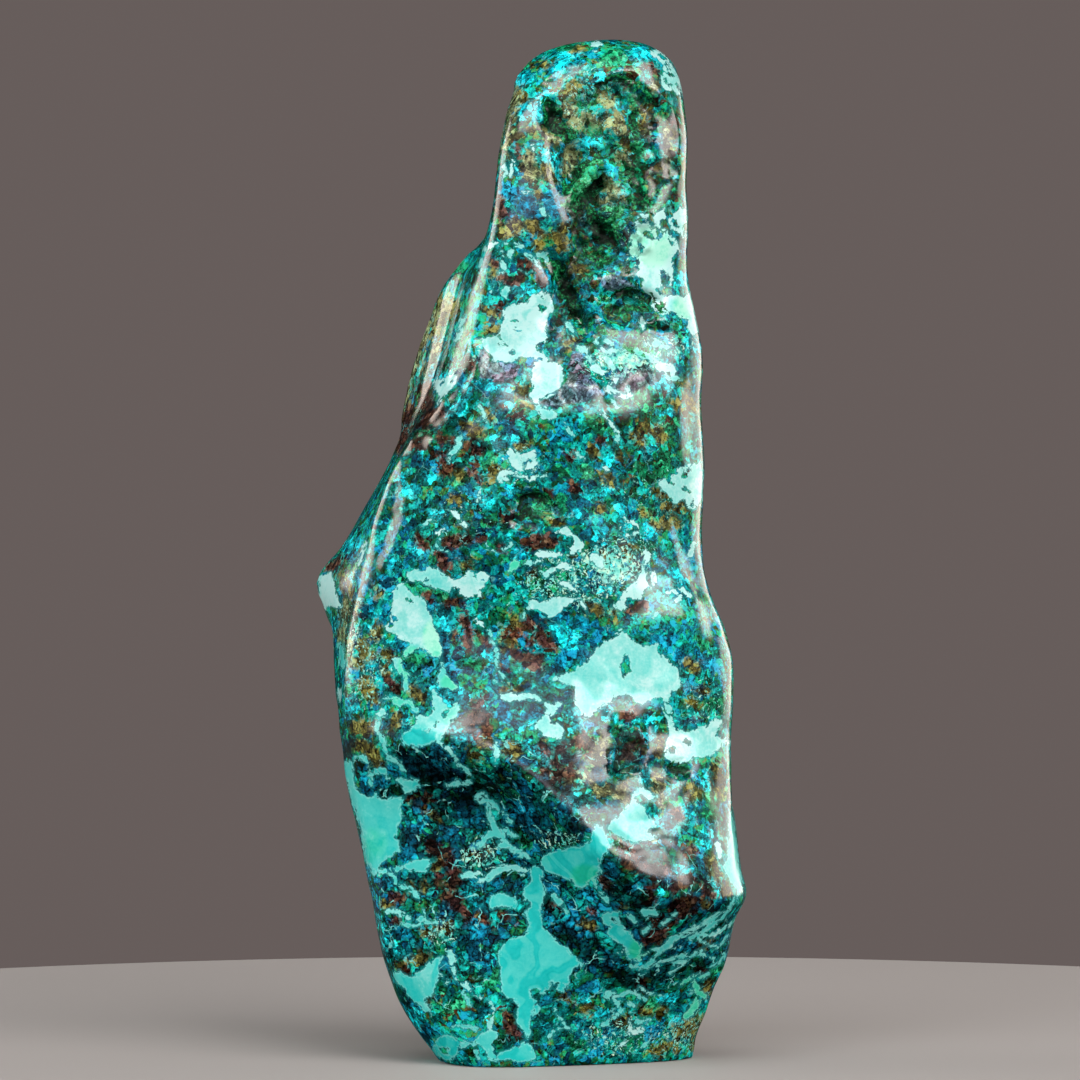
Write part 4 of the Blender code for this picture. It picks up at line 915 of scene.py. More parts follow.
ZONES = {
    "coarse": (((470, 860), (150, 170), 0, 1.0), ((640, 930), (110, 80), 0, 0.8)),
    "greenish": (
        ((600, 130), (110, 110), 0, 0.8), ((675, 160), (40, 110), 0, 0.6), ((490, 430), (70, 40), 20, 0.55),
        ((650, 430), (60, 70), 0, 1.2), ((640, 500), (50, 40), 0, 0.5), ((490, 640), (50, 50), 0, -0.15),
        ((455, 1000), (40, 35), 0, 0.8), ((640, 1020), (70, 40), 0, 0.5), ((440, 300), (50, 90), 30, 0.5),
        ((560, 280), (40, 60), -30, 0.8), ((430, 840), (70, 80), 0, -0.5), ((560, 650), (60, 50), 0, -0.6),
        ((420, 620), (60, 90), 0, -0.4), ((530, 830), (70, 60), 0, -0.6), ((590, 920), (50, 50), 0, -0.7),
        ((470, 940), (50, 40), 0, -0.6), ((530, 210), (50, 30), 0, -0.5), ((600, 480), (40, 60), 0, -0.3),
        ((390, 920), (30, 60), 0, -0.5),
    ),
    # The light zone: the rock's own lightness, with painted shade in its dips under the crest, the knob and
    # in the hollows, and partly a painted highlight in its rise on the left flank.
    "light": (
        ((590, 70), (80, 30), 15, 0.25), ((450, 300), (40, 90), 30, 0.3), ((640, 360), (60, 40), 0, 0.05),
        ((570, 575), (90, 45), 0, -0.1), ((690, 620), (40, 50), 0, 0.2), ((595, 130), (40, 45), 0, 0.28),
        ((600, 118), (36, 30), 0, 0.3), ((606, 188), (30, 30), 0, 0.5), ((585, 170), (30, 20), 0, 0.15),
        ((575, 918), (30, 42), -20, 0.42), ((372, 850), (22, 26), 0, 0.3), ((500, 900), (30, 40), 0, -0.12),
        ((470, 850), (90, 60), 0, -0.1), ((470, 530), (70, 50), 0, -0.12), ((680, 160), (30, 90), 0, -0.12),
        ((610, 750), (60, 50), 0, -0.15), ((655, 840), (40, 40), 0, -0.1), ((560, 1045), (60, 20), 0, -0.05),
        ((640, 140), (30, 60), 0, -0.15), ((400, 680), (60, 60), 0, 0.1), ((500, 800), (110, 40), -15, -0.18),
        ((670, 930), (60, 50), 0, -0.15), ((640, 975), (80, 25), 10, -0.12),
        ((430, 770), (60, 30), -20, -0.3), ((560, 935), (60, 25), -40, -0.15),
        ((440, 430), (50, 30), 45, -0.32), ((590, 215), (40, 30), 0, -0.3), ((565, 290), (15, 50), -20, -0.3),
        ((450, 1030), (60, 30), 0, 0.32), ((560, 1020), (50, 40), 0, -0.08), ((420, 1020), (20, 30), 0, -0.2),
        ((450, 870), (30, 50), 0, -0.2),
    ),
    "speckle": (
        ((600, 75), (70, 26), 20, 0.35), ((590, 120), (40, 40), 0, 0.5), ((615, 215), (20, 30), 0, 0.4),
        ((575, 580), (70, 34), 10, 0.8), ((625, 555), (40, 30), 0, 0.6), ((520, 465), (30, 22), 0, 0.7),
        ((610, 366), (40, 18), 0, 0.8), ((655, 350), (50, 16), 10, 0.8), ((365, 670), (28, 50), 0, 0.6),
        ((480, 855), (26, 18), 0, 0.9), ((442, 932), (20, 20), 0, 0.8), ((620, 1035), (50, 26), 0, 0.7),
        ((690, 1035), (28, 22), 0, 0.8), ((705, 705), (30, 30), 0, 0.5), ((555, 838), (30, 12), 0, 0.5),
        ((640, 270), (30, 60), 0, 0.4), ((560, 850), (30, 12), 0, 0.4), ((470, 520), (40, 30), 0, 0.35),
        ((645, 500), (40, 40), 0, 0.4), ((350, 610), (14, 40), 0, 0.5), ((460, 350), (30, 40), 30, 0.4),
    ),
    "minty": (
        ((434, 640), (13, 22), 0, 1.0), ((410, 665), (14, 22), 0, 1.0), ((452, 682), (14, 10), 0, 0.9),
        ((514, 566), (14, 12), 0, 1.0), ((405, 700), (20, 12), 0, 0.7), ((694, 1000), (26, 30), 0, 1.0),
        ((648, 248), (28, 26), 0, 1.0), ((683, 308), (12, 16), 0, 0.8), ((640, 950), (14, 14), 0, 0.8),
        ((375, 845), (20, 25), 0, 0.5), ((585, 875), (18, 14), 0, 0.7), ((650, 345), (50, 16), 0, 0.6),
        ((452, 715), (14, 20), 0, 0.5), ((735, 840), (12, 40), 0, 0.4), ((545, 855), (14, 12), 0, 0.4),
    ),
    "lumpy": (
        ((664, 150), (26, 75), 0, -0.9), ((635, 780), (90, 110), 0, 1.0), ((470, 735), (40, 30), 0, 0.6),
        ((560, 370), (90, 35), 0, 0.7),
    ),
    "hollow": (
        ((600, 130), (52, 62), 20, 1.0), ((612, 225), (44, 52), 30, 1.0), ((572, 292), (17, 44), -25, 1.0),
        ((628, 310), (32, 16), 0, 1.0), ((532, 512), (20, 18), 0, 0.9), ((628, 748), (20, 26), 20, 1.0),
        ((680, 768), (12, 10), 0, 0.7),
    ),
}
zones = {name: empty_field(0.0) for name in ZONES}
for name, ovals in ZONES.items():
    for centre, half, tilt, strength in ovals:
        lay_zone(zones[name], centre, half, tilt, strength)
    zones[name] = np.clip(zones[name], -1, 2)
print("zones:", {name: len(ovals) for name, ovals in ZONES.items()})

# %% [markdown]
# ## The sides and the back
#
# The front has its own pattern. The rest gets marks of the same kinds in chance places. A mark is a bent
# rod in space: it starts at a vertex, runs along the surface and is measured in millimetres. The chance
# numbers are seeded, so every run gives the same stone.

# %% Helpers that scatter marks over the back
BACK_SEED = 20
BOX_MARGIN = 8
BACK_FADE = 12.0

chance = np.random.default_rng(BACK_SEED)
behind = np.flatnonzero(faces_front < 0.05)


def grow_rod(length, bend):
    """A path along the back's surface: a start vertex and a few bent steps from it."""
    vertex = chance.choice(behind)
    spot = surface_mm[vertex]
    normal = normals[vertex]
    heading = np.cross(normal, chance.normal(size=3))
    heading /= np.linalg.norm(heading)
    path = [spot]
    for _ in range(3):
        heading = heading + bend * np.cross(normal, heading) * chance.normal()
        heading /= np.linalg.norm(heading)
        aim = path[-1] + heading * length / 3
        nearest = behind[np.argmin(((surface_mm[behind] - aim) ** 2).sum(axis=1))]
        path.append(surface_mm[nearest] + 1e-3)
    return path


def lay_behind(field, radius, path, tone_field=None, tone=0.0):
    """Joins a rod into a field on the sides and back."""
    box_low = np.min(path, axis=0) - BOX_MARGIN - radius
    box_high = np.max(path, axis=0) + BOX_MARGIN + radius
    in_box = ((surface_mm > box_low) & (surface_mm < box_high)).all(axis=1)
    near = np.flatnonzero(in_box & (faces_front < 0.15))
    depth = depth_in_stroke(surface_mm[near], radius, path, wobble[near])
    join(field, near, depth - BACK_FADE * np.clip(faces_front[near] - 0.02, 0, 1), tone_field, tone)


print("vertices of the back:", len(behind))

# %% [markdown]
# The pale patches are made of a trunk and three branches each, so that they come out lobed. Thin veins go
# between them. Where two marks meet, the deeper one wins.

# %% Scatter the pale patches and veins of the back
BACK_PATCHES = 26
BACK_VEINS = 60

for _ in range(BACK_PATCHES):
    spot_tone = chance.uniform(0, 0.75)
    trunk = grow_rod(chance.uniform(5, 16), 0.7)
    lay_behind(pale, chance.uniform(1.6, 4.2), trunk, pale_tone, spot_tone)
    for _ in range(3):
        joint = trunk[chance.integers(len(trunk))]
        branch = [joint, joint + chance.normal(size=3) * chance.uniform(2.5, 6)]
        lay_behind(pale, chance.uniform(0.7, 2.2), branch, pale_tone, spot_tone)
for _ in range(BACK_VEINS):
    radius = chance.uniform(0.3, 0.8)
    vein = grow_rod(chance.uniform(4, 16), 0.8)
    lay_behind(pale, radius, vein, pale_tone, chance.uniform(0, 0.5))
print("pale share of the back:", round(float((pale[behind] > 0).mean()), 2))

# %% [markdown]
# The fragments of the back are short rods, and its zones are balls around chance vertices.

# %% Scatter the fragments and the zones of the back
BACK_FRAGMENTS = ((cyan, 90), (blue, 90), (ochre, 90), (red, 55), (green, 45), (dark, 60))
BACK_ZONES = (
    ("coarse", 8, 0.5, 1), ("greenish", 26, -0.8, 0.8), ("light", 26, -0.3, 0.3), ("speckle", 16, 0.4, 0.9),
    ("minty", 14, 0.4, 1),
)
for mineral_field, count in BACK_FRAGMENTS:
    for _ in range(count):
        lay_behind(mineral_field, chance.uniform(0.8, 2.0), grow_rod(chance.uniform(1, 5), 0.6))
on_the_back = 1 - ramp_up(faces_front, -0.05, 0.1)
for name, count, low, high in BACK_ZONES:
    for _ in range(count):
        centre = surface_mm[chance.choice(behind)]
        reach = np.linalg.norm(surface_mm - centre, axis=1) / chance.uniform(8, 18)
        zones[name] += chance.uniform(low, high) * (1 - ramp_up(reach, 0.4, 1.2)) * on_the_back
print("fragments of the back:", sum(count for _, count in BACK_FRAGMENTS))

# %% [markdown]
# ## Hand the fields to the mesh
#
# A float attribute keeps one number for each vertex. Blender blends it over each face, which is just right
# for a distance, and the material can read it by its name.

# %% Store the fields on the skin
def store_field(name, values):
    """Keeps a field on the skin as a float attribute."""
    fine_mesh.attributes.new(name, "FLOAT", "POINT").data.foreach_set("value", values.astype(np.float32))


FIELDS = {
    "pale": pale, "pale_tone": pale_tone, "cyan": cyan, "blue": blue, "ochre": ochre, "red": red,
    "green": green, "dark": dark, "tan": tan, "coat": coat, "lilac": lilac, **zones,
}
for name in FIELDS:
    store_field(name, FIELDS[name])
print("fields:", ", ".join(FIELDS))

# %% [markdown]
# ## Smooth the skin like a polishing wheel
#
# Only now, with every mark in its place, is the skin smoothed. A few plain passes take off the solid's
# facets. The passes that follow pull in and push back in turn, so that the stone keeps its size. The
# hollows are held, since no wheel reaches them.

# %% Smooth the skin
PULL_IN_PASSES = 7
EVEN_PASSES = 40
PULL_IN = 0.5
PUSH_BACK = -0.52
HOLLOW_HOLD = 0.7


def neighbours_mean(places):
    """The mean place of each vertex's neighbours."""
    first, second = edges.T
    total = np.empty_like(places)
    for axis in range(3):
        total[:, axis] = np.bincount(first, places[second, axis], len(places))
        total[:, axis] += np.bincount(second, places[first, axis], len(places))
    return total / neighbour_count


neighbour_count = np.bincount(edges.ravel(), minlength=len(places))[:, None]
broken = ramp_up(zones["hollow"], 0.3, 0.7)
freedom = (1 - HOLLOW_HOLD * broken)[:, None]
smooth_places = places
for _ in range(PULL_IN_PASSES):
    smooth_places = smooth_places + PULL_IN * freedom * (neighbours_mean(smooth_places) - smooth_places)
for _ in range(EVEN_PASSES):
    for pull in (PULL_IN, PUSH_BACK):
        smooth_places = smooth_places + pull * freedom * (neighbours_mean(smooth_places) - smooth_places)
write_vertices(fine_mesh, smooth_places)
print("moved at most, mm:", round(float(np.abs(smooth_places - places).max() / MM), 2))

# %% [markdown]
# ## Relief in the broken hollows
#
# The polisher's wheel doesn't reach into the hollows, so there the rock is still as it broke: lumps that
# stand proud, crevices between them and small facets all over. The lumps and crevices are strokes with a
# height in millimetres. A few long shallow ones outside the hollows are ridges in the polish.

# %% Raise the lumps and cut the crevices
LUMPS = (
    (1.5, 16, (612, 120), (616, 128)), (0.9, 12, (576, 100), (572, 120)),
    (1.0, 5, (604, 166), (590, 178), (578, 190)), (1.4, 13, (620, 185), (606, 208)),
    (0.9, 9, (622, 152), (628, 146)), (0.8, 10, (586, 140), (596, 146)), (-1.6, 6, (550, 104), (554, 124)),
    (-1.6, 6, (604, 86), (630, 80)), (-1.2, 5, (562, 130), (574, 150), (570, 180)),
    (-1.4, 7, (592, 196), (600, 180)), (-1.6, 9, (580, 210), (606, 240), (612, 250)),
    (-1.0, 5, (632, 160), (638, 196)), (-1.2, 4, (606, 156), (622, 140), (632, 118)),
    (-1.4, 6, (560, 262), (566, 290), (580, 322)), (0.8, 7, (590, 270), (598, 300)),
    (-1.5, 5, (602, 298), (630, 294), (656, 300)), (0.8, 6, (628, 314), (644, 322)),
    (-0.5, 4, (648, 326), (664, 332)), (-1.3, 5, (524, 504), (520, 520)), (-1.0, 4, (526, 498), (548, 500)),
    (0.7, 8, (536, 512), (540, 514)), (-1.3, 7, (640, 730), (636, 758)), (-1.2, 6, (622, 752), (618, 768)),
    (0.6, 5, (632, 742), (630, 752)), (-1.2, 4, (672, 768), (684, 772)),
    (1.2, 3, (574, 192), (586, 178), (598, 164)), (0.45, 4, (472, 342), (465, 370), (440, 410), (412, 442)),
    (0.45, 4, (483, 346), (477, 382), (460, 410), (432, 442)),
    (0.5, 8, (500, 88), (540, 70), (580, 56), (620, 52)),
    (0.35, 6, (402, 462), (404, 500), (396, 536), (384, 566)), (0.7, 7, (654, 112), (660, 140), (664, 172)),
)
relief = np.zeros(len(places))
for height, half_width, *path in LUMPS:
    near = near_on_front(path)
    depth = depth_in_stroke(on_frame[near], half_width, path, wobble[near]) * STEP_MM
    relief[near] += height * ramp_up(depth, -1.2, 1.2)
lumps = relief.copy()
print("lumps and crevices:", len(LUMPS))

# %% [markdown]
# Rock breaks along small flat facets. Each comes from a chance point that carries its own tilted plane, and
# every vertex takes the plane of the nearest point. There are big facets and small ones on top of them.

# %% Chip the facets
FACET_SIZE = 2.6
FACET_SLOPE = 1.1
SMALL_FACET_SIZE = 1.3
SMALL_FACET_SLOPE = 0.5
CHIP_HEIGHT = 0.72


def chance_at(cells, seed):
    """Three chance numbers from 0 to 1 for each whole-numbered cell."""
    mixed = (cells[:, 0] * 73856093) ^ (cells[:, 1] * 19349663) ^ (cells[:, 2] * 83492791)
    mixed = mixed ^ (seed * 2654435761)
    numbers = []
    for _ in range(3):
        mixed = (mixed * 6364136223846793005 + 1442695040888963407) & 0x7FFFFFFFFFFFFFFF
        numbers.append(((mixed >> 24) & 0xFFFFFF) / 0x1000000)
    return np.column_stack(numbers)


def facets(spots, size, seed):
    """Height of broken facets at each row of spots: the nearest chance point's tilted plane."""
    home = np.floor(spots / size).astype(np.int64)
    nearest = np.full(len(spots), np.inf)
    height = np.zeros(len(spots))
    for shift in np.ndindex(3, 3, 3):
        cell = home + np.array(shift) - 1
        offset = spots - (cell + chance_at(cell, seed)) * size
        away = (offset ** 2).sum(axis=1)
        plane = 2 * (offset * (chance_at(cell, seed + 1) - 0.5)).sum(axis=1)
        closer = away < nearest
        nearest[closer] = away[closer]
        height[closer] = plane[closer]
    return height


rough = np.flatnonzero(broken > 0)
chipped = FACET_SLOPE * facets(surface_mm[rough], FACET_SIZE, 5)
chipped = chipped + SMALL_FACET_SLOPE * facets(surface_mm[rough], SMALL_FACET_SIZE, 9)
relief[rough] += broken[rough] * CHIP_HEIGHT * chipped
print("vertices in the hollows:", len(rough))

# %% [markdown]
# The polished surface isn't a perfect curve either. Harder and softer minerals wear differently under the
# wheel, so it swells and sinks by a tenth of a millimetre or so. That is what breaks up the reflections.
# The foot stays flat, so the relief fades out just above it.

# %% Add the polish's own waves and lift the skin
POLISH_WAVES = ((0.15, 7.0, 11.0), (0.035, 2.8, 29.0))
FOOT_TOP = 0.4 * MM
HEIGHT_FROM_CHIPS = 0.35

for height, size, seed in POLISH_WAVES:
    relief += height * (1 - broken) * (1 + zones["lumpy"]) * gentle_noise(surface_mm, size, seed)
fine_mesh.update()
smooth_normals = read_vertices(fine_mesh, "normal")
relief *= ramp_up(places[:, 2] / MM, 0.5, 4.0)
lifted = smooth_places + smooth_normals * relief[:, None] * MM
on_foot = places[:, 2] < FOOT_TOP
lifted[on_foot] = places[on_foot]
lifted[:, 2] = np.maximum(lifted[:, 2], 0)
write_vertices(fine_mesh, lifted)
store_field("height", np.where(broken > 0, lumps + HEIGHT_FROM_CHIPS * relief, 0.0))
print("relief from", round(float(relief.min()), 2), "to", round(float(relief.max()), 2), "mm")

# %% [markdown]
# ## Thin out the back
#
# The net is now finer than a whole model should carry. The front needs it for its crisp marks, but the
# back's marks are few and large, so a Decimate modifier with a vertex group takes faces away there alone.
# It carries the stored fields along.

# %% Take faces away on the back
TRIANGLES_WANTED = 196000

group = skin.vertex_groups.new(name="behind")
group.add(np.flatnonzero(faces_front < -0.05).tolist(), 1.0, "REPLACE")
thin_out = skin.modifiers.new("thin_out", "DECIMATE")
thin_out.ratio = TRIANGLES_WANTED / (2 * len(fine_mesh.polygons))
thin_out.vertex_group = "behind"
depsgraph.update()
thinned = bpy.data.meshes.new_from_object(skin.evaluated_get(bpy.context.evaluated_depsgraph_get()))
skin.modifiers.clear()
skin.vertex_groups.clear()
skin.data = thinned
bpy.data.meshes.remove(fine_mesh)
thinned.name = "polished_skin"
thinned.shade_smooth()
print("skin now:", sum(len(face.vertices) - 2 for face in thinned.polygons), "triangles")

# %% [markdown]
# ## The material
#
# Small helpers keep the wiring readable. Each adds one node and hands back the socket that the next one
# needs.

# %% Helpers for wiring nodes
stone_look = bpy.data.materials.new("polished_chrysocolla")
stone_look.use_nodes = True
tree = stone_look.node_tree
surface = tree.nodes["Principled BSDF"]


def wire(value, socket):
    """Links another socket to this one, or sets its own value."""
    if isinstance(value, bpy.types.NodeSocket):
        tree.links.new(value, socket)
    elif socket.type == "RGBA":
        socket.default_value = (*value, 1)
    else:
        socket.default_value = value


def add(kind, settings=None, **inputs):
    """Adds a node, sets its options, and sets or wires its inputs by name or by _number."""
    node = tree.nodes.new("ShaderNode" + kind)
    for key, value in (settings or {}).items():
        setattr(node, key, value)
    for key, value in inputs.items():
        wire(value, node.inputs[int(key[1:])] if key.startswith("_") else node.inputs[key.replace("_", " ")])
    return node


def field(name):
    """A field that is stored on the skin."""
    return add("Attribute", {"attribute_name": name}).outputs["Fac"]


def calc(operation, a, b=0.0, c=0.0):
    """One sum on two or three numbers."""
    return add("Math", {"operation": operation}, _0=a, _1=b, _2=c).outputs[0]


def plus(a, b):
    """a plus b."""
    return calc("ADD", a, b)


def scaled(a, factor, shift=0.0):
    """a times factor, plus shift."""
    return calc("MULTIPLY_ADD", a, factor, shift)


def step(value, low, high):
    """0 below low, 1 above high, smooth between."""
    node = add("MapRange", {"interpolation_type": "SMOOTHSTEP"}, Value=value, From_Min=low, From_Max=high)
    return node.outputs["Result"]


def blend(share, under, over):
    """The colour under where share is 0, over where it is 1."""
    node = add("Mix", {"data_type": "RGBA"})
    wire(share, node.inputs[0])
    wire(under, node.inputs[6])
    wire(over, node.inputs[7])
    return node.outputs[2]


def ramp(value, *stops):
    """Turns a value into a colour by stops of a place and a colour."""
    node = add("ValToRGB", Fac=value)
    elements = node.color_ramp.elements
    elements.remove(elements[1])
    for i, (place, colour) in enumerate(stops):
        element = elements[0] if i == 0 else elements.new(place)
        element.position = place
        element.color = (*colour, 1)
    return node.outputs["Color"]


def cloud(vector, size, detail=3.0, roughness=0.55, distortion=0.0):
    """Noise from 0 to 1 whose lumps are about the given size in millimetres."""
    shape = {"Detail": detail, "Roughness": roughness, "Distortion": distortion}
    return add("TexNoise", Vector=vector, Scale=1 / size, **shape).outputs["Fac"]


def crumbs(vector, size, feature="F1"):
    """Cells of about the given size in millimetres."""
    return add("TexVoronoi", {"feature": feature}, Vector=vector, Scale=1 / size)


def chance_of(cells, channel):
    """One of the three chance numbers that a cell has."""
    return add("SeparateColor", Color=cells.outputs["Color"]).outputs[channel]


def between(share, low, high):
    """The number low where share is 0, high where it is 1."""
    return calc("MULTIPLY_ADD", calc("SUBTRACT", high, low), share, low)


def times(vector, factor):
    """A vector or a colour times a factor."""
    return add("VectorMath", {"operation": "SCALE"}, _0=vector, _3=factor).outputs[0]


def moved(vector, way):
    """A vector moved by another one."""
    return add("VectorMath", {"operation": "ADD"}, _0=vector, _1=way).outputs[0]


def wander(vector, size, amount, offset=0.0):
    """The vector pushed about by noise, so that shapes drawn with it wander by about half the amount."""
    push = add("TexNoise", Vector=moved(vector, (offset, 2 * offset, -offset)), Scale=1 / size, Detail=2.0)
    return moved(vector, times(moved(push.outputs["Color"], (-0.5, -0.5, -0.5)), amount))


# %% [markdown]
# Object coordinates move with the stone, so the pattern stays on it wherever it goes. Pushed about by
# noise, they give every shape that is drawn with them a ragged outline. `loose` is for small crumbs and
# `bent` for big ones.

# %% Coordinates in millimetres
where = times(add("TexCoord").outputs["Object"], 1 / MM)
loose = wander(wander(where, 5.0, 3.5), 1.1, 1.1, 31.0)
bent = wander(wander(where, 6.0, 4.0, 7.0), 1.6, 1.4, 17.0)
print("nodes for the coordinates:", len(tree.nodes))

# %% [markdown]
# ## The ground: crumbs of broken rock
#
# The polished rock is a breccia, which is crumbs of every size cemented together. Two nets of cells stand
# for small and for big crumbs. About half of the small ones show, and between them the big ones do. A
# crumb has three chance numbers: for its shade, for its mineral, and for whether it shows and how it
# behaves at the edge of a mark.

# %% Small and big crumbs
SMALL_CRUMB = 1.5
BIG_CRUMB = 3.4

small = crumbs(loose, SMALL_CRUMB)
small_rim = crumbs(loose, SMALL_CRUMB, "DISTANCE_TO_EDGE").outputs["Distance"]
big = crumbs(bent, BIG_CRUMB)
big_rim = crumbs(bent, BIG_CRUMB, "DISTANCE_TO_EDGE").outputs["Distance"]
coarse = field("coarse")
own_way = step(plus(chance_of(small, 2), scaled(coarse, -0.14)), 0.46, 0.50)
shade = between(own_way, chance_of(big, 0), chance_of(small, 0))
mineral = between(own_way, chance_of(big, 1), chance_of(small, 1))
rim = between(own_way, scaled(big_rim, BIG_CRUMB), scaled(small_rim, SMALL_CRUMB))
print("crumbs of", SMALL_CRUMB, "and", BIG_CRUMB, "mm")

# %% [markdown]
# A crumb's mineral is read off a scale that runs from blue over teal, cyan and green to ochre and
# red-brown. Noise and the green zones shift the reading, so each part of the stone has its own mix.

# %% The crumbs' minerals
grit = cloud(where, 0.65, 2.0, 0.65)
grain = cloud(loose, 1.5, 3.0, 0.65)
patchy = cloud(where, 7.0, 3.0, 0.6)
mix = plus(scaled(mineral, 0.8), scaled(cloud(loose, 2.0, 4.0, 0.65), 1.1, -0.50))
mix = plus(plus(mix, scaled(field("greenish"), 0.16)), scaled(grit, 0.3, -0.15))
colour = ramp(
    mix,
    (0.02, (0.001, 0.130, 0.250)), (0.16, (0.001, 0.200, 0.300)), (0.30, (0.001, 0.215, 0.220)),
    (0.42, (0.001, 0.240, 0.190)), (0.52, (0.002, 0.370, 0.360)), (0.62, (0.002, 0.280, 0.180)),
    (0.74, (0.002, 0.220, 0.090)), (0.84, (0.012, 0.160, 0.045)), (0.92, (0.070, 0.095, 0.020)),
    (1.0, (0.050, 0.024, 0.010)),
)
print("minerals on the scale:", len(colour.node.color_ramp.elements))

# %% [markdown]
# ## The fragments
#
# A fragment is a place where one mineral rules. Its mask is its distance field, pushed about by noise and
# by the crumbs' third chance number, so its edge breaks up crumb by crumb and a few foreign crumbs lie
# inside it. Each look has the millimetres over which its edge fades, and a dark, a middle and a light
# shade.

# %% Lay the fragments over the ground
edge_push = plus(scaled(cloud(loose, 1.1, 4.0, 0.7), 3.4, -1.5), scaled(chance_of(small, 2), 1.6, -0.8))
edge_push = plus(edge_push, scaled(grit, 1.2, -0.6))

FRAGMENT_COVER = 0.95
SHADE_PLACES = (0.1, 0.5, 0.9)
FRAGMENT_LOOKS = (
    ("blue", 0.15, (0.001, 0.110, 0.200), (0.001, 0.200, 0.330), (0.002, 0.300, 0.410)),
    ("green", 0.3, (0.001, 0.110, 0.050), (0.003, 0.240, 0.090), (0.030, 0.400, 0.200)),
    ("cyan", 0.12, (0.001, 0.330, 0.400), (0.003, 0.480, 0.560), (0.015, 0.640, 0.640)),
    ("ochre", 0.8, (0.040, 0.050, 0.008), (0.130, 0.104, 0.012), (0.190, 0.190, 0.045)),
    ("tan", 0.8, (0.070, 0.100, 0.030), (0.185, 0.185, 0.075), (0.230, 0.350, 0.190)),
    ("red", 0.6, (0.026, 0.008, 0.005), (0.090, 0.024, 0.013), (0.110, 0.058, 0.030)),
)
for name, fade, *shades in FRAGMENT_LOOKS:
    mask = scaled(step(plus(field(name), edge_push), -fade, fade), FRAGMENT_COVER)
    reading = plus(scaled(mineral, 0.5), scaled(grain, 1.2, -0.35))
    colour = blend(mask, colour, ramp(reading, *zip(SHADE_PLACES, shades)))
print("nodes with the fragments:", len(tree.nodes))

# %% [markdown]
# The painted lilac reflection is a film over the rock, so the ground still shows through it.

# %% Lay the painted lilac reflection over its facets
LILAC_REFLECTION_COVER = 0.62

lilac_mask = scaled(step(plus(field("lilac"), scaled(edge_push, 0.35)), -0.3, 0.3), LILAC_REFLECTION_COVER)
colour = blend(lilac_mask, colour, ramp(grain, (0.35, (0.085, 0.085, 0.130)), (0.65, (0.230, 0.205, 0.300))))
print("lilac covers", LILAC_REFLECTION_COVER)

# %% [markdown]
# ## Light and shade
#
# Brightness comes after the colour, so that one rule serves every mineral: the crumb's own shade, rough
# grain, fine grit, the light zones and the dark marks add up, and the sum is an exponent of two. The light
# zones and the dark marks bring in painted shade under the crest, under the knob and in the hollows, and part
# of a painted highlight on the left flank. The cement between the crumbs is nearly black.

# %% Shade the crumbs
tone = plus(scaled(shade, 2.6, -1.3), scaled(chance_of(small, 0), 1.4, -0.7))
tone = plus(tone, plus(scaled(grain, 5.0, -2.5), scaled(grit, 5.0, -2.5)))
tone = calc("MULTIPLY", tone, scaled(coarse, -0.15, 1.0))
# Painted light and shade: the light zone adds painted shade under the crest, the knob and in the hollows, and
# part of a painted highlight on the left flank.
tone = plus(tone, plus(scaled(field("light"), 3.2), scaled(patchy, 3.0, -1.5)))
tone = plus(tone, scaled(coarse, -0.30))
dark_specks = step(cloud(moved(where, (40, 0, 0)), 0.9, 3.0, 0.65), 0.57, 0.61)
light_specks = step(cloud(moved(where, (0, 40, 0)), 0.8, 3.0, 0.6), 0.63, 0.68)
tone = plus(tone, plus(scaled(dark_specks, -2.4), scaled(light_specks, 1.2)))
# Painted shade: the dark marks under the crest, under the knob and in the crevices darken the tone, besides
# the nearly black rock.
darkness = step(plus(field("dark"), edge_push), -0.4, 0.4)
tone = plus(tone, scaled(darkness, -1.8))
cement = calc("SUBTRACT", 1.0, step(plus(rim, scaled(grit, 0.5, -0.25)), 0.0, scaled(coarse, 0.05, 0.22)))
rounded = calc("MULTIPLY", coarse, scaled(step(rim, 0.0, 0.9), 1.1, -0.5))
tone = plus(tone, rounded)
tone = plus(tone, calc("MULTIPLY", cement, scaled(coarse, -1.3, -0.6)))
tone = calc("MINIMUM", plus(tone, -0.48), 1.0)
body = times(colour, calc("POWER", 2.0, tone))
glint = step(tone, 0.9, 1.5)
body = blend(scaled(glint, 0.45), body, (0.180, 0.700, 0.640))
print("nodes with the shading:", len(tree.nodes))

# %% [markdown]
# ## Pale grains, veins and patches
#
# The pale gel runs over and between everything else: as grains that pepper some zones, as hair-thin veins,
# and as the patches with their swirls and paler rims. Its colour is read off two scales, a cool and a minty
# one.
#
# A swirl comes from the sine of slow noise: where the noise climbs evenly, its sine turns into bands. Only
# the turquoise patches have them.

# %% Pale colours
clouding = cloud(wander(where, 9.0, 14.0, 5.0), 6.0, 2.5, 0.5, 0.8)
mottling = cloud(wander(where, 2.0, 3.0), 1.9, 4.0, 0.6)
gel_tone = plus(field("pale_tone"), scaled(clouding, 0.5, -0.25))
gel_tone = plus(gel_tone, plus(scaled(grit, 0.24, -0.12), scaled(mottling, 0.3, -0.15)))
swirls = calc("SINE", scaled(cloud(wander(where, 13.0, 18.0, 9.0), 12.0, 1.0, 0.4), 26.0))
swirl_edges = calc("SUBTRACT", 1.0, step(calc("ABSOLUTE", plus(swirls, 0.5)), 0.1, 0.4))
swirl_tone = plus(scaled(step(swirls, -0.4, 0.5), -0.18), scaled(swirl_edges, 0.06))
gel_tone = plus(gel_tone, calc("MULTIPLY", swirl_tone, step(field("pale_tone"), 0.3, 0.55)))
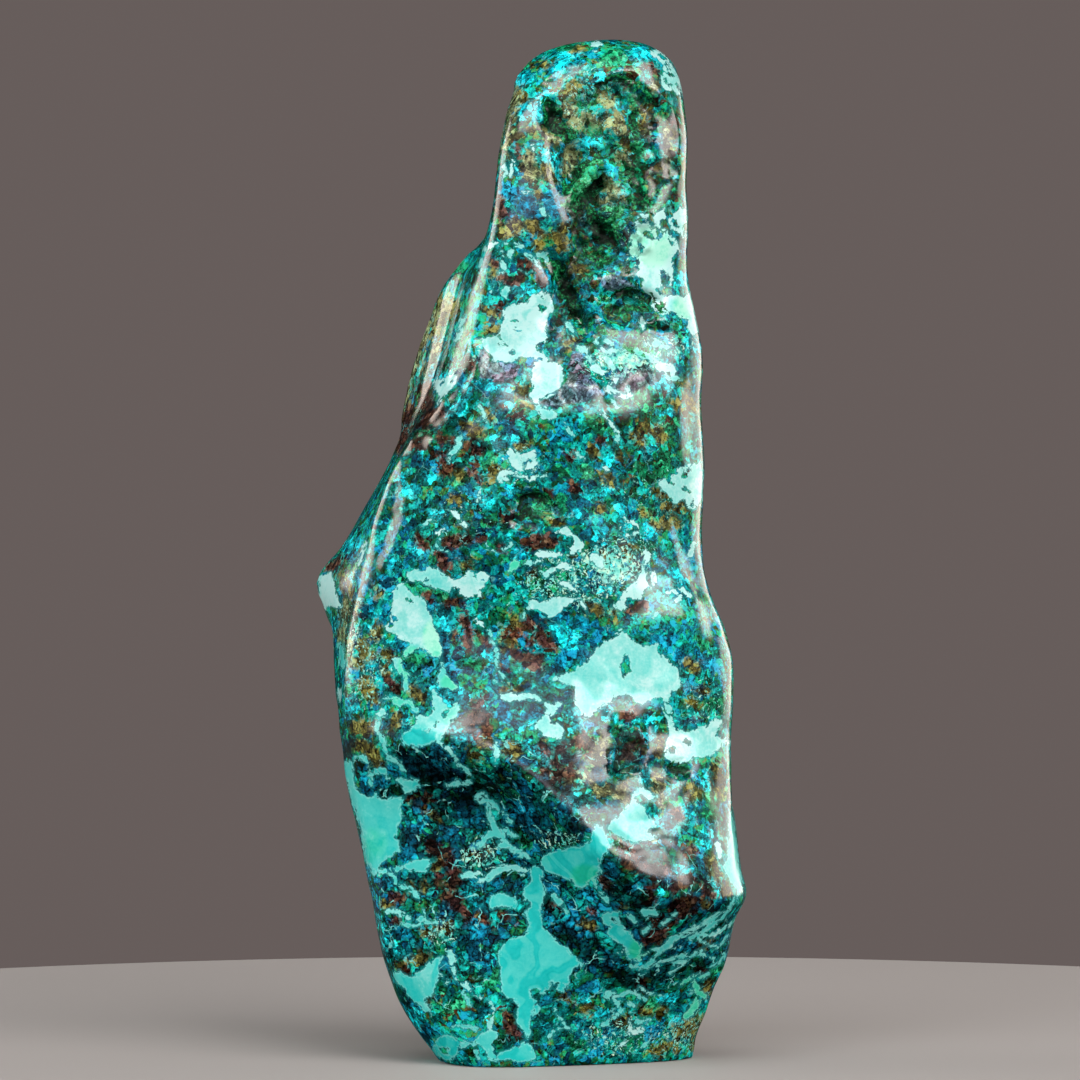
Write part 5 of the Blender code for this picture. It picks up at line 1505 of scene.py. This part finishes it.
cool_gel = ramp(
    gel_tone, (0.0, (0.400, 0.700, 0.680)), (0.12, (0.220, 0.630, 0.590)), (0.3, (0.070, 0.540, 0.500)),
    (0.58, (0.012, 0.470, 0.450)), (0.8, (0.002, 0.390, 0.370)), (1.0, (0.001, 0.300, 0.300)),
)
green_gel = ramp(
    gel_tone, (0.0, (0.340, 0.740, 0.600)), (0.2, (0.080, 0.640, 0.430)), (0.5, (0.010, 0.500, 0.310)),
    (1.0, (0.002, 0.320, 0.190)),
)
minty = step(plus(field("minty"), scaled(cloud(where, 3.0), 0.6, -0.3)), 0.25, 0.9)
gel = blend(minty, cool_gel, green_gel)
print("nodes with the gel:", len(tree.nodes))

# %% [markdown]
# Grains are the peaks of fine noise, cut off at a height. A zone of speckle lets more of them through.
# Veins are the borders of large cells, which are drawn only here and there.

# %% Pale grains and veins
grains_wanted = scaled(field("speckle"), 0.20)
grains = step(plus(cloud(loose, 0.7, 4.0, 0.65), grains_wanted), 0.70, 0.73)
grain_colour = ramp(
    cloud(where, 1.6, 3.0),
    (0.35, (0.030, 0.440, 0.380)), (0.5, (0.200, 0.680, 0.580)), (0.65, (0.480, 0.760, 0.580)),
)
body = blend(grains, body, grain_colour)
vein_net = crumbs(wander(bent, 3.0, 3.0, 13.0), 8.0, "DISTANCE_TO_EDGE").outputs["Distance"]
vein_gate = calc("MULTIPLY", step(cloud(where, 3.5, 3.0), 0.52, 0.60), scaled(coarse, 0.6, 0.4))
vein_lines = calc("SUBTRACT", 1.0, step(plus(vein_net, scaled(grit, 0.04, -0.02)), 0.004, 0.022))
veins = calc("MULTIPLY", vein_lines, vein_gate)
body = blend(veins, body, ramp(grain, (0.3, (0.030, 0.420, 0.420)), (0.7, (0.300, 0.780, 0.700))))
print("nodes with the veins:", len(tree.nodes))

# %% [markdown]
# A patch has a dark shore on the rock around it, then its ragged edge, and a pale lip inside that.

# %% Pale patches with rims
gel_push = plus(scaled(cloud(loose, 0.9, 4.0, 0.7), 1.7, -0.85), scaled(chance_of(small, 2), 0.7, -0.35))
gel_depth = plus(field("pale"), gel_push)
shore = calc("MULTIPLY", step(gel_depth, -0.6, -0.15), 0.6)
body = blend(shore, body, ramp(grain, (0.3, (0.004, 0.110, 0.120)), (0.7, (0.010, 0.330, 0.330))))
lip = calc("SUBTRACT", 1.0, step(gel_depth, 0.1, 0.5))
gel = blend(calc("MULTIPLY", lip, 0.3), gel, (0.38, 0.80, 0.74))
body = blend(step(gel_depth, -0.05, 0.07), body, gel)
print("nodes with the patches:", len(tree.nodes))

# %% [markdown]
# ## The broken hollows
#
# In the hollows malachite coats the crevices, and the lumps show the mottled rock. The height that we stored
# shades the coat: the deeper, the darker, down to nearly black, and that darkening is painted shade in the
# crevices.

# %% Coat the crevices with malachite
broken_share = step(field("hollow"), 0.3, 0.7)
coat_mask = step(plus(field("coat"), edge_push), -0.15, 0.15)
# Painted shade: the coat darkens with the stored depth.
coat_tone_and_shade = plus(scaled(field("height"), 0.16, 0.36), plus(scaled(grain, 1.6, -0.8), scaled(grit, 1.6, -0.8)))
coat_tone_and_shade = plus(coat_tone_and_shade, plus(scaled(dark_specks, -0.35), scaled(light_specks, 0.30)))
coat_colour_and_shade = ramp(
    coat_tone_and_shade, (0.0, (0.001, 0.010, 0.004)), (0.2, (0.001, 0.040, 0.016)), (0.38, (0.003, 0.115, 0.036)),
    (0.58, (0.008, 0.280, 0.080)), (0.8, (0.050, 0.480, 0.220)), (1.0, (0.180, 0.640, 0.420)),
)
body = blend(coat_mask, body, coat_colour_and_shade)
print("nodes with the coat:", len(tree.nodes))

# %% [markdown]
# ## The polish
#
# A polished stone is smooth but no mirror, and its hollows are dull. So roughness goes up and gloss goes
# down with the share of hollow. A very fine bump stands for the grain that the polish leaves, and a
# stronger one for the broken rock.

# %% Plug the colours and the polish into the surface
GRAIN_BUMP = 0.010
BROKEN_BUMP = 0.5

wire(body, surface.inputs["Base Color"])
dullness = plus(scaled(broken_share, 0.34, 0.20), scaled(cloud(where, 4.0), 0.08, -0.04))
wire(dullness, surface.inputs["Roughness"])
wire(scaled(broken_share, -0.16, 0.30), surface.inputs["Specular IOR Level"])
broken_relief = calc("MULTIPLY", broken_share, scaled(grain, BROKEN_BUMP))
fine_relief = plus(scaled(cloud(where, 1.0, 3.0, 0.6), GRAIN_BUMP), broken_relief)
wire(add("Bump", Strength=1.0, Distance=MM, Height=fine_relief).outputs["Normal"], surface.inputs["Normal"])
skin.data.materials.append(stone_look)
print("nodes in the material:", len(tree.nodes))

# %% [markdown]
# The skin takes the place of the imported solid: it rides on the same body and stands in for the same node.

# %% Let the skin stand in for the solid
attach(skin, "root")
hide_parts("chrysocolla_stone")
print("the skin stands in for", solid.name)

# %% [markdown]
# ## The table
#
# The stone stands on a plain pale round table. Its top is a tenth of a millimetre under the foot.

# %% A plain pale round table
TABLE_RADIUS = 0.32
TABLE_THICKNESS = 0.02
FOOT_GAP = 0.1 * MM


def plain_look(name, colour, roughness):
    """A material of one colour."""
    look = bpy.data.materials.new(name)
    look.use_nodes = True
    principled = look.node_tree.nodes["Principled BSDF"]
    principled.inputs["Base Color"].default_value = (*colour, 1)
    principled.inputs["Roughness"].default_value = roughness
    return look


bpy.ops.mesh.primitive_cylinder_add(
    vertices=128, radius=TABLE_RADIUS, depth=TABLE_THICKNESS,
    location=(0, 0, -TABLE_THICKNESS / 2 - FOOT_GAP),
)
table = bpy.context.object
table.name = "pale_table"
table.data.materials.append(plain_look("pale_table", (0.36, 0.345, 0.335), 0.6))
table.visible_glossy = False
print("table, m across:", 2 * TABLE_RADIUS)

# %% [markdown]
# A polished stone mirrors the whole room, so a pale table would leave a haze on its lower half. A studio
# lays a black card under the stone for that. Ours is a plane that only mirror rays see, while the table
# hides from them.

# %% A black card that only reflections see
CARD_SIDE = 3.0
CARD_DEPTH = 0.03

bpy.ops.mesh.primitive_plane_add(size=CARD_SIDE, location=(0, 0, -CARD_DEPTH))
card = bpy.context.object
card.name = "black_card"
card.data.materials.append(plain_look("black_card", (0.003, 0.003, 0.003), 0.9))
card.visible_camera = False
card.visible_diffuse = False
card.visible_shadow = False
print("card, m across:", CARD_SIDE)

# %% [markdown]
# ## Soft studio lights
#
# A glossy thing is lit twice. One set of soft boxes brings out its colours and leaves no mirror image. A
# second set is seen only in the polish, and each of its boxes is placed where the surface mirrors it
# towards the camera: on the shoulder and the knob, on the crown and along the ridges at both sides.

# %% Lights that bring out the colours
AIM = Vector((0, 0, 0.12))


def soft_light(name, place, width, height, power, colour, colours=True, reflections=True):
    """A soft box that looks at the middle of the stone, for its colours, its reflections or both."""
    data = bpy.data.lights.new(name, "AREA")
    data.shape = "RECTANGLE"
    data.size = width
    data.size_y = height
    data.energy = power
    data.color = colour
    light = bpy.data.objects.new(name, data)
    light.location = place
    light.rotation_euler = (AIM - Vector(place)).to_track_quat("-Z", "Y").to_euler()
    light.visible_camera = False
    light.visible_diffuse = colours
    light.visible_glossy = reflections
    bpy.context.scene.collection.objects.link(light)


soft_light("front_right", (1.03, -1.32, 1.2), 1.5, 0.9, 34, (1, 0.91, 0.87), reflections=False)
soft_light("top", (-0.1, -1.1, 1.95), 1.7, 1.1, 26, (1, 1, 1), reflections=False)
soft_light("front_left", (-1.2, -1.5, 0.5), 1.2, 1.2, 17, (1, 1, 1), reflections=False)
soft_light("left_side", (-1.9, 0.2, 0.4), 0.7, 1.3, 15, (1, 0.95, 0.9), reflections=False)
soft_light("right_side", (1.9, 0.2, 0.4), 0.7, 1.3, 12, (1, 0.95, 0.9), reflections=False)
print("lights for the colours:", len(bpy.data.lights))

# %% [markdown]
# Most of these are slightly warm, as lamps are, and the two in the middle are slightly lilac.

# %% Lights that only the polish mirrors
soft_light("right_sheen", (1.28, -1.28, 0.96), 2.0, 0.7, 76, (1, 0.94, 0.91), colours=False)
soft_light("middle_sheen", (-0.25, -1.76, 1.03), 1.0, 0.6, 8, (0.97, 0.88, 1.0), colours=False)
soft_light("top_sheen", (-0.1, -1.1, 1.95), 1.7, 1.1, 14, (0.90, 0.84, 1.0), colours=False)
soft_light("crown_sheen", (-0.85, -1.15, 1.50), 1.5, 0.4, 34, (1, 0.92, 0.88), colours=False)
soft_light("left_wall", (-1.86, 0.42, 0.68), 1.5, 0.9, 42, (1, 0.90, 0.80), colours=False)
soft_light("right_wall", (1.62, 0.98, 0.33), 1.6, 0.8, 27, (1, 0.90, 0.78), colours=False)
print("lights in all:", len(bpy.data.lights))

# %% [markdown]
# A warm grey room fills the shadows. It is hidden from the polish, which would mirror it as a haze.

# %% The grey room
world = bpy.data.worlds.new("studio")
world.use_nodes = True
world.node_tree.nodes["Background"].inputs["Color"].default_value = (0.135, 0.110, 0.105, 1)
world.node_tree.nodes["Background"].inputs["Strength"].default_value = 1.0
bpy.context.scene.world = world
world.cycles_visibility.glossy = False
bpy.context.scene.view_settings.view_transform = "Standard"
print("room:", world.name)
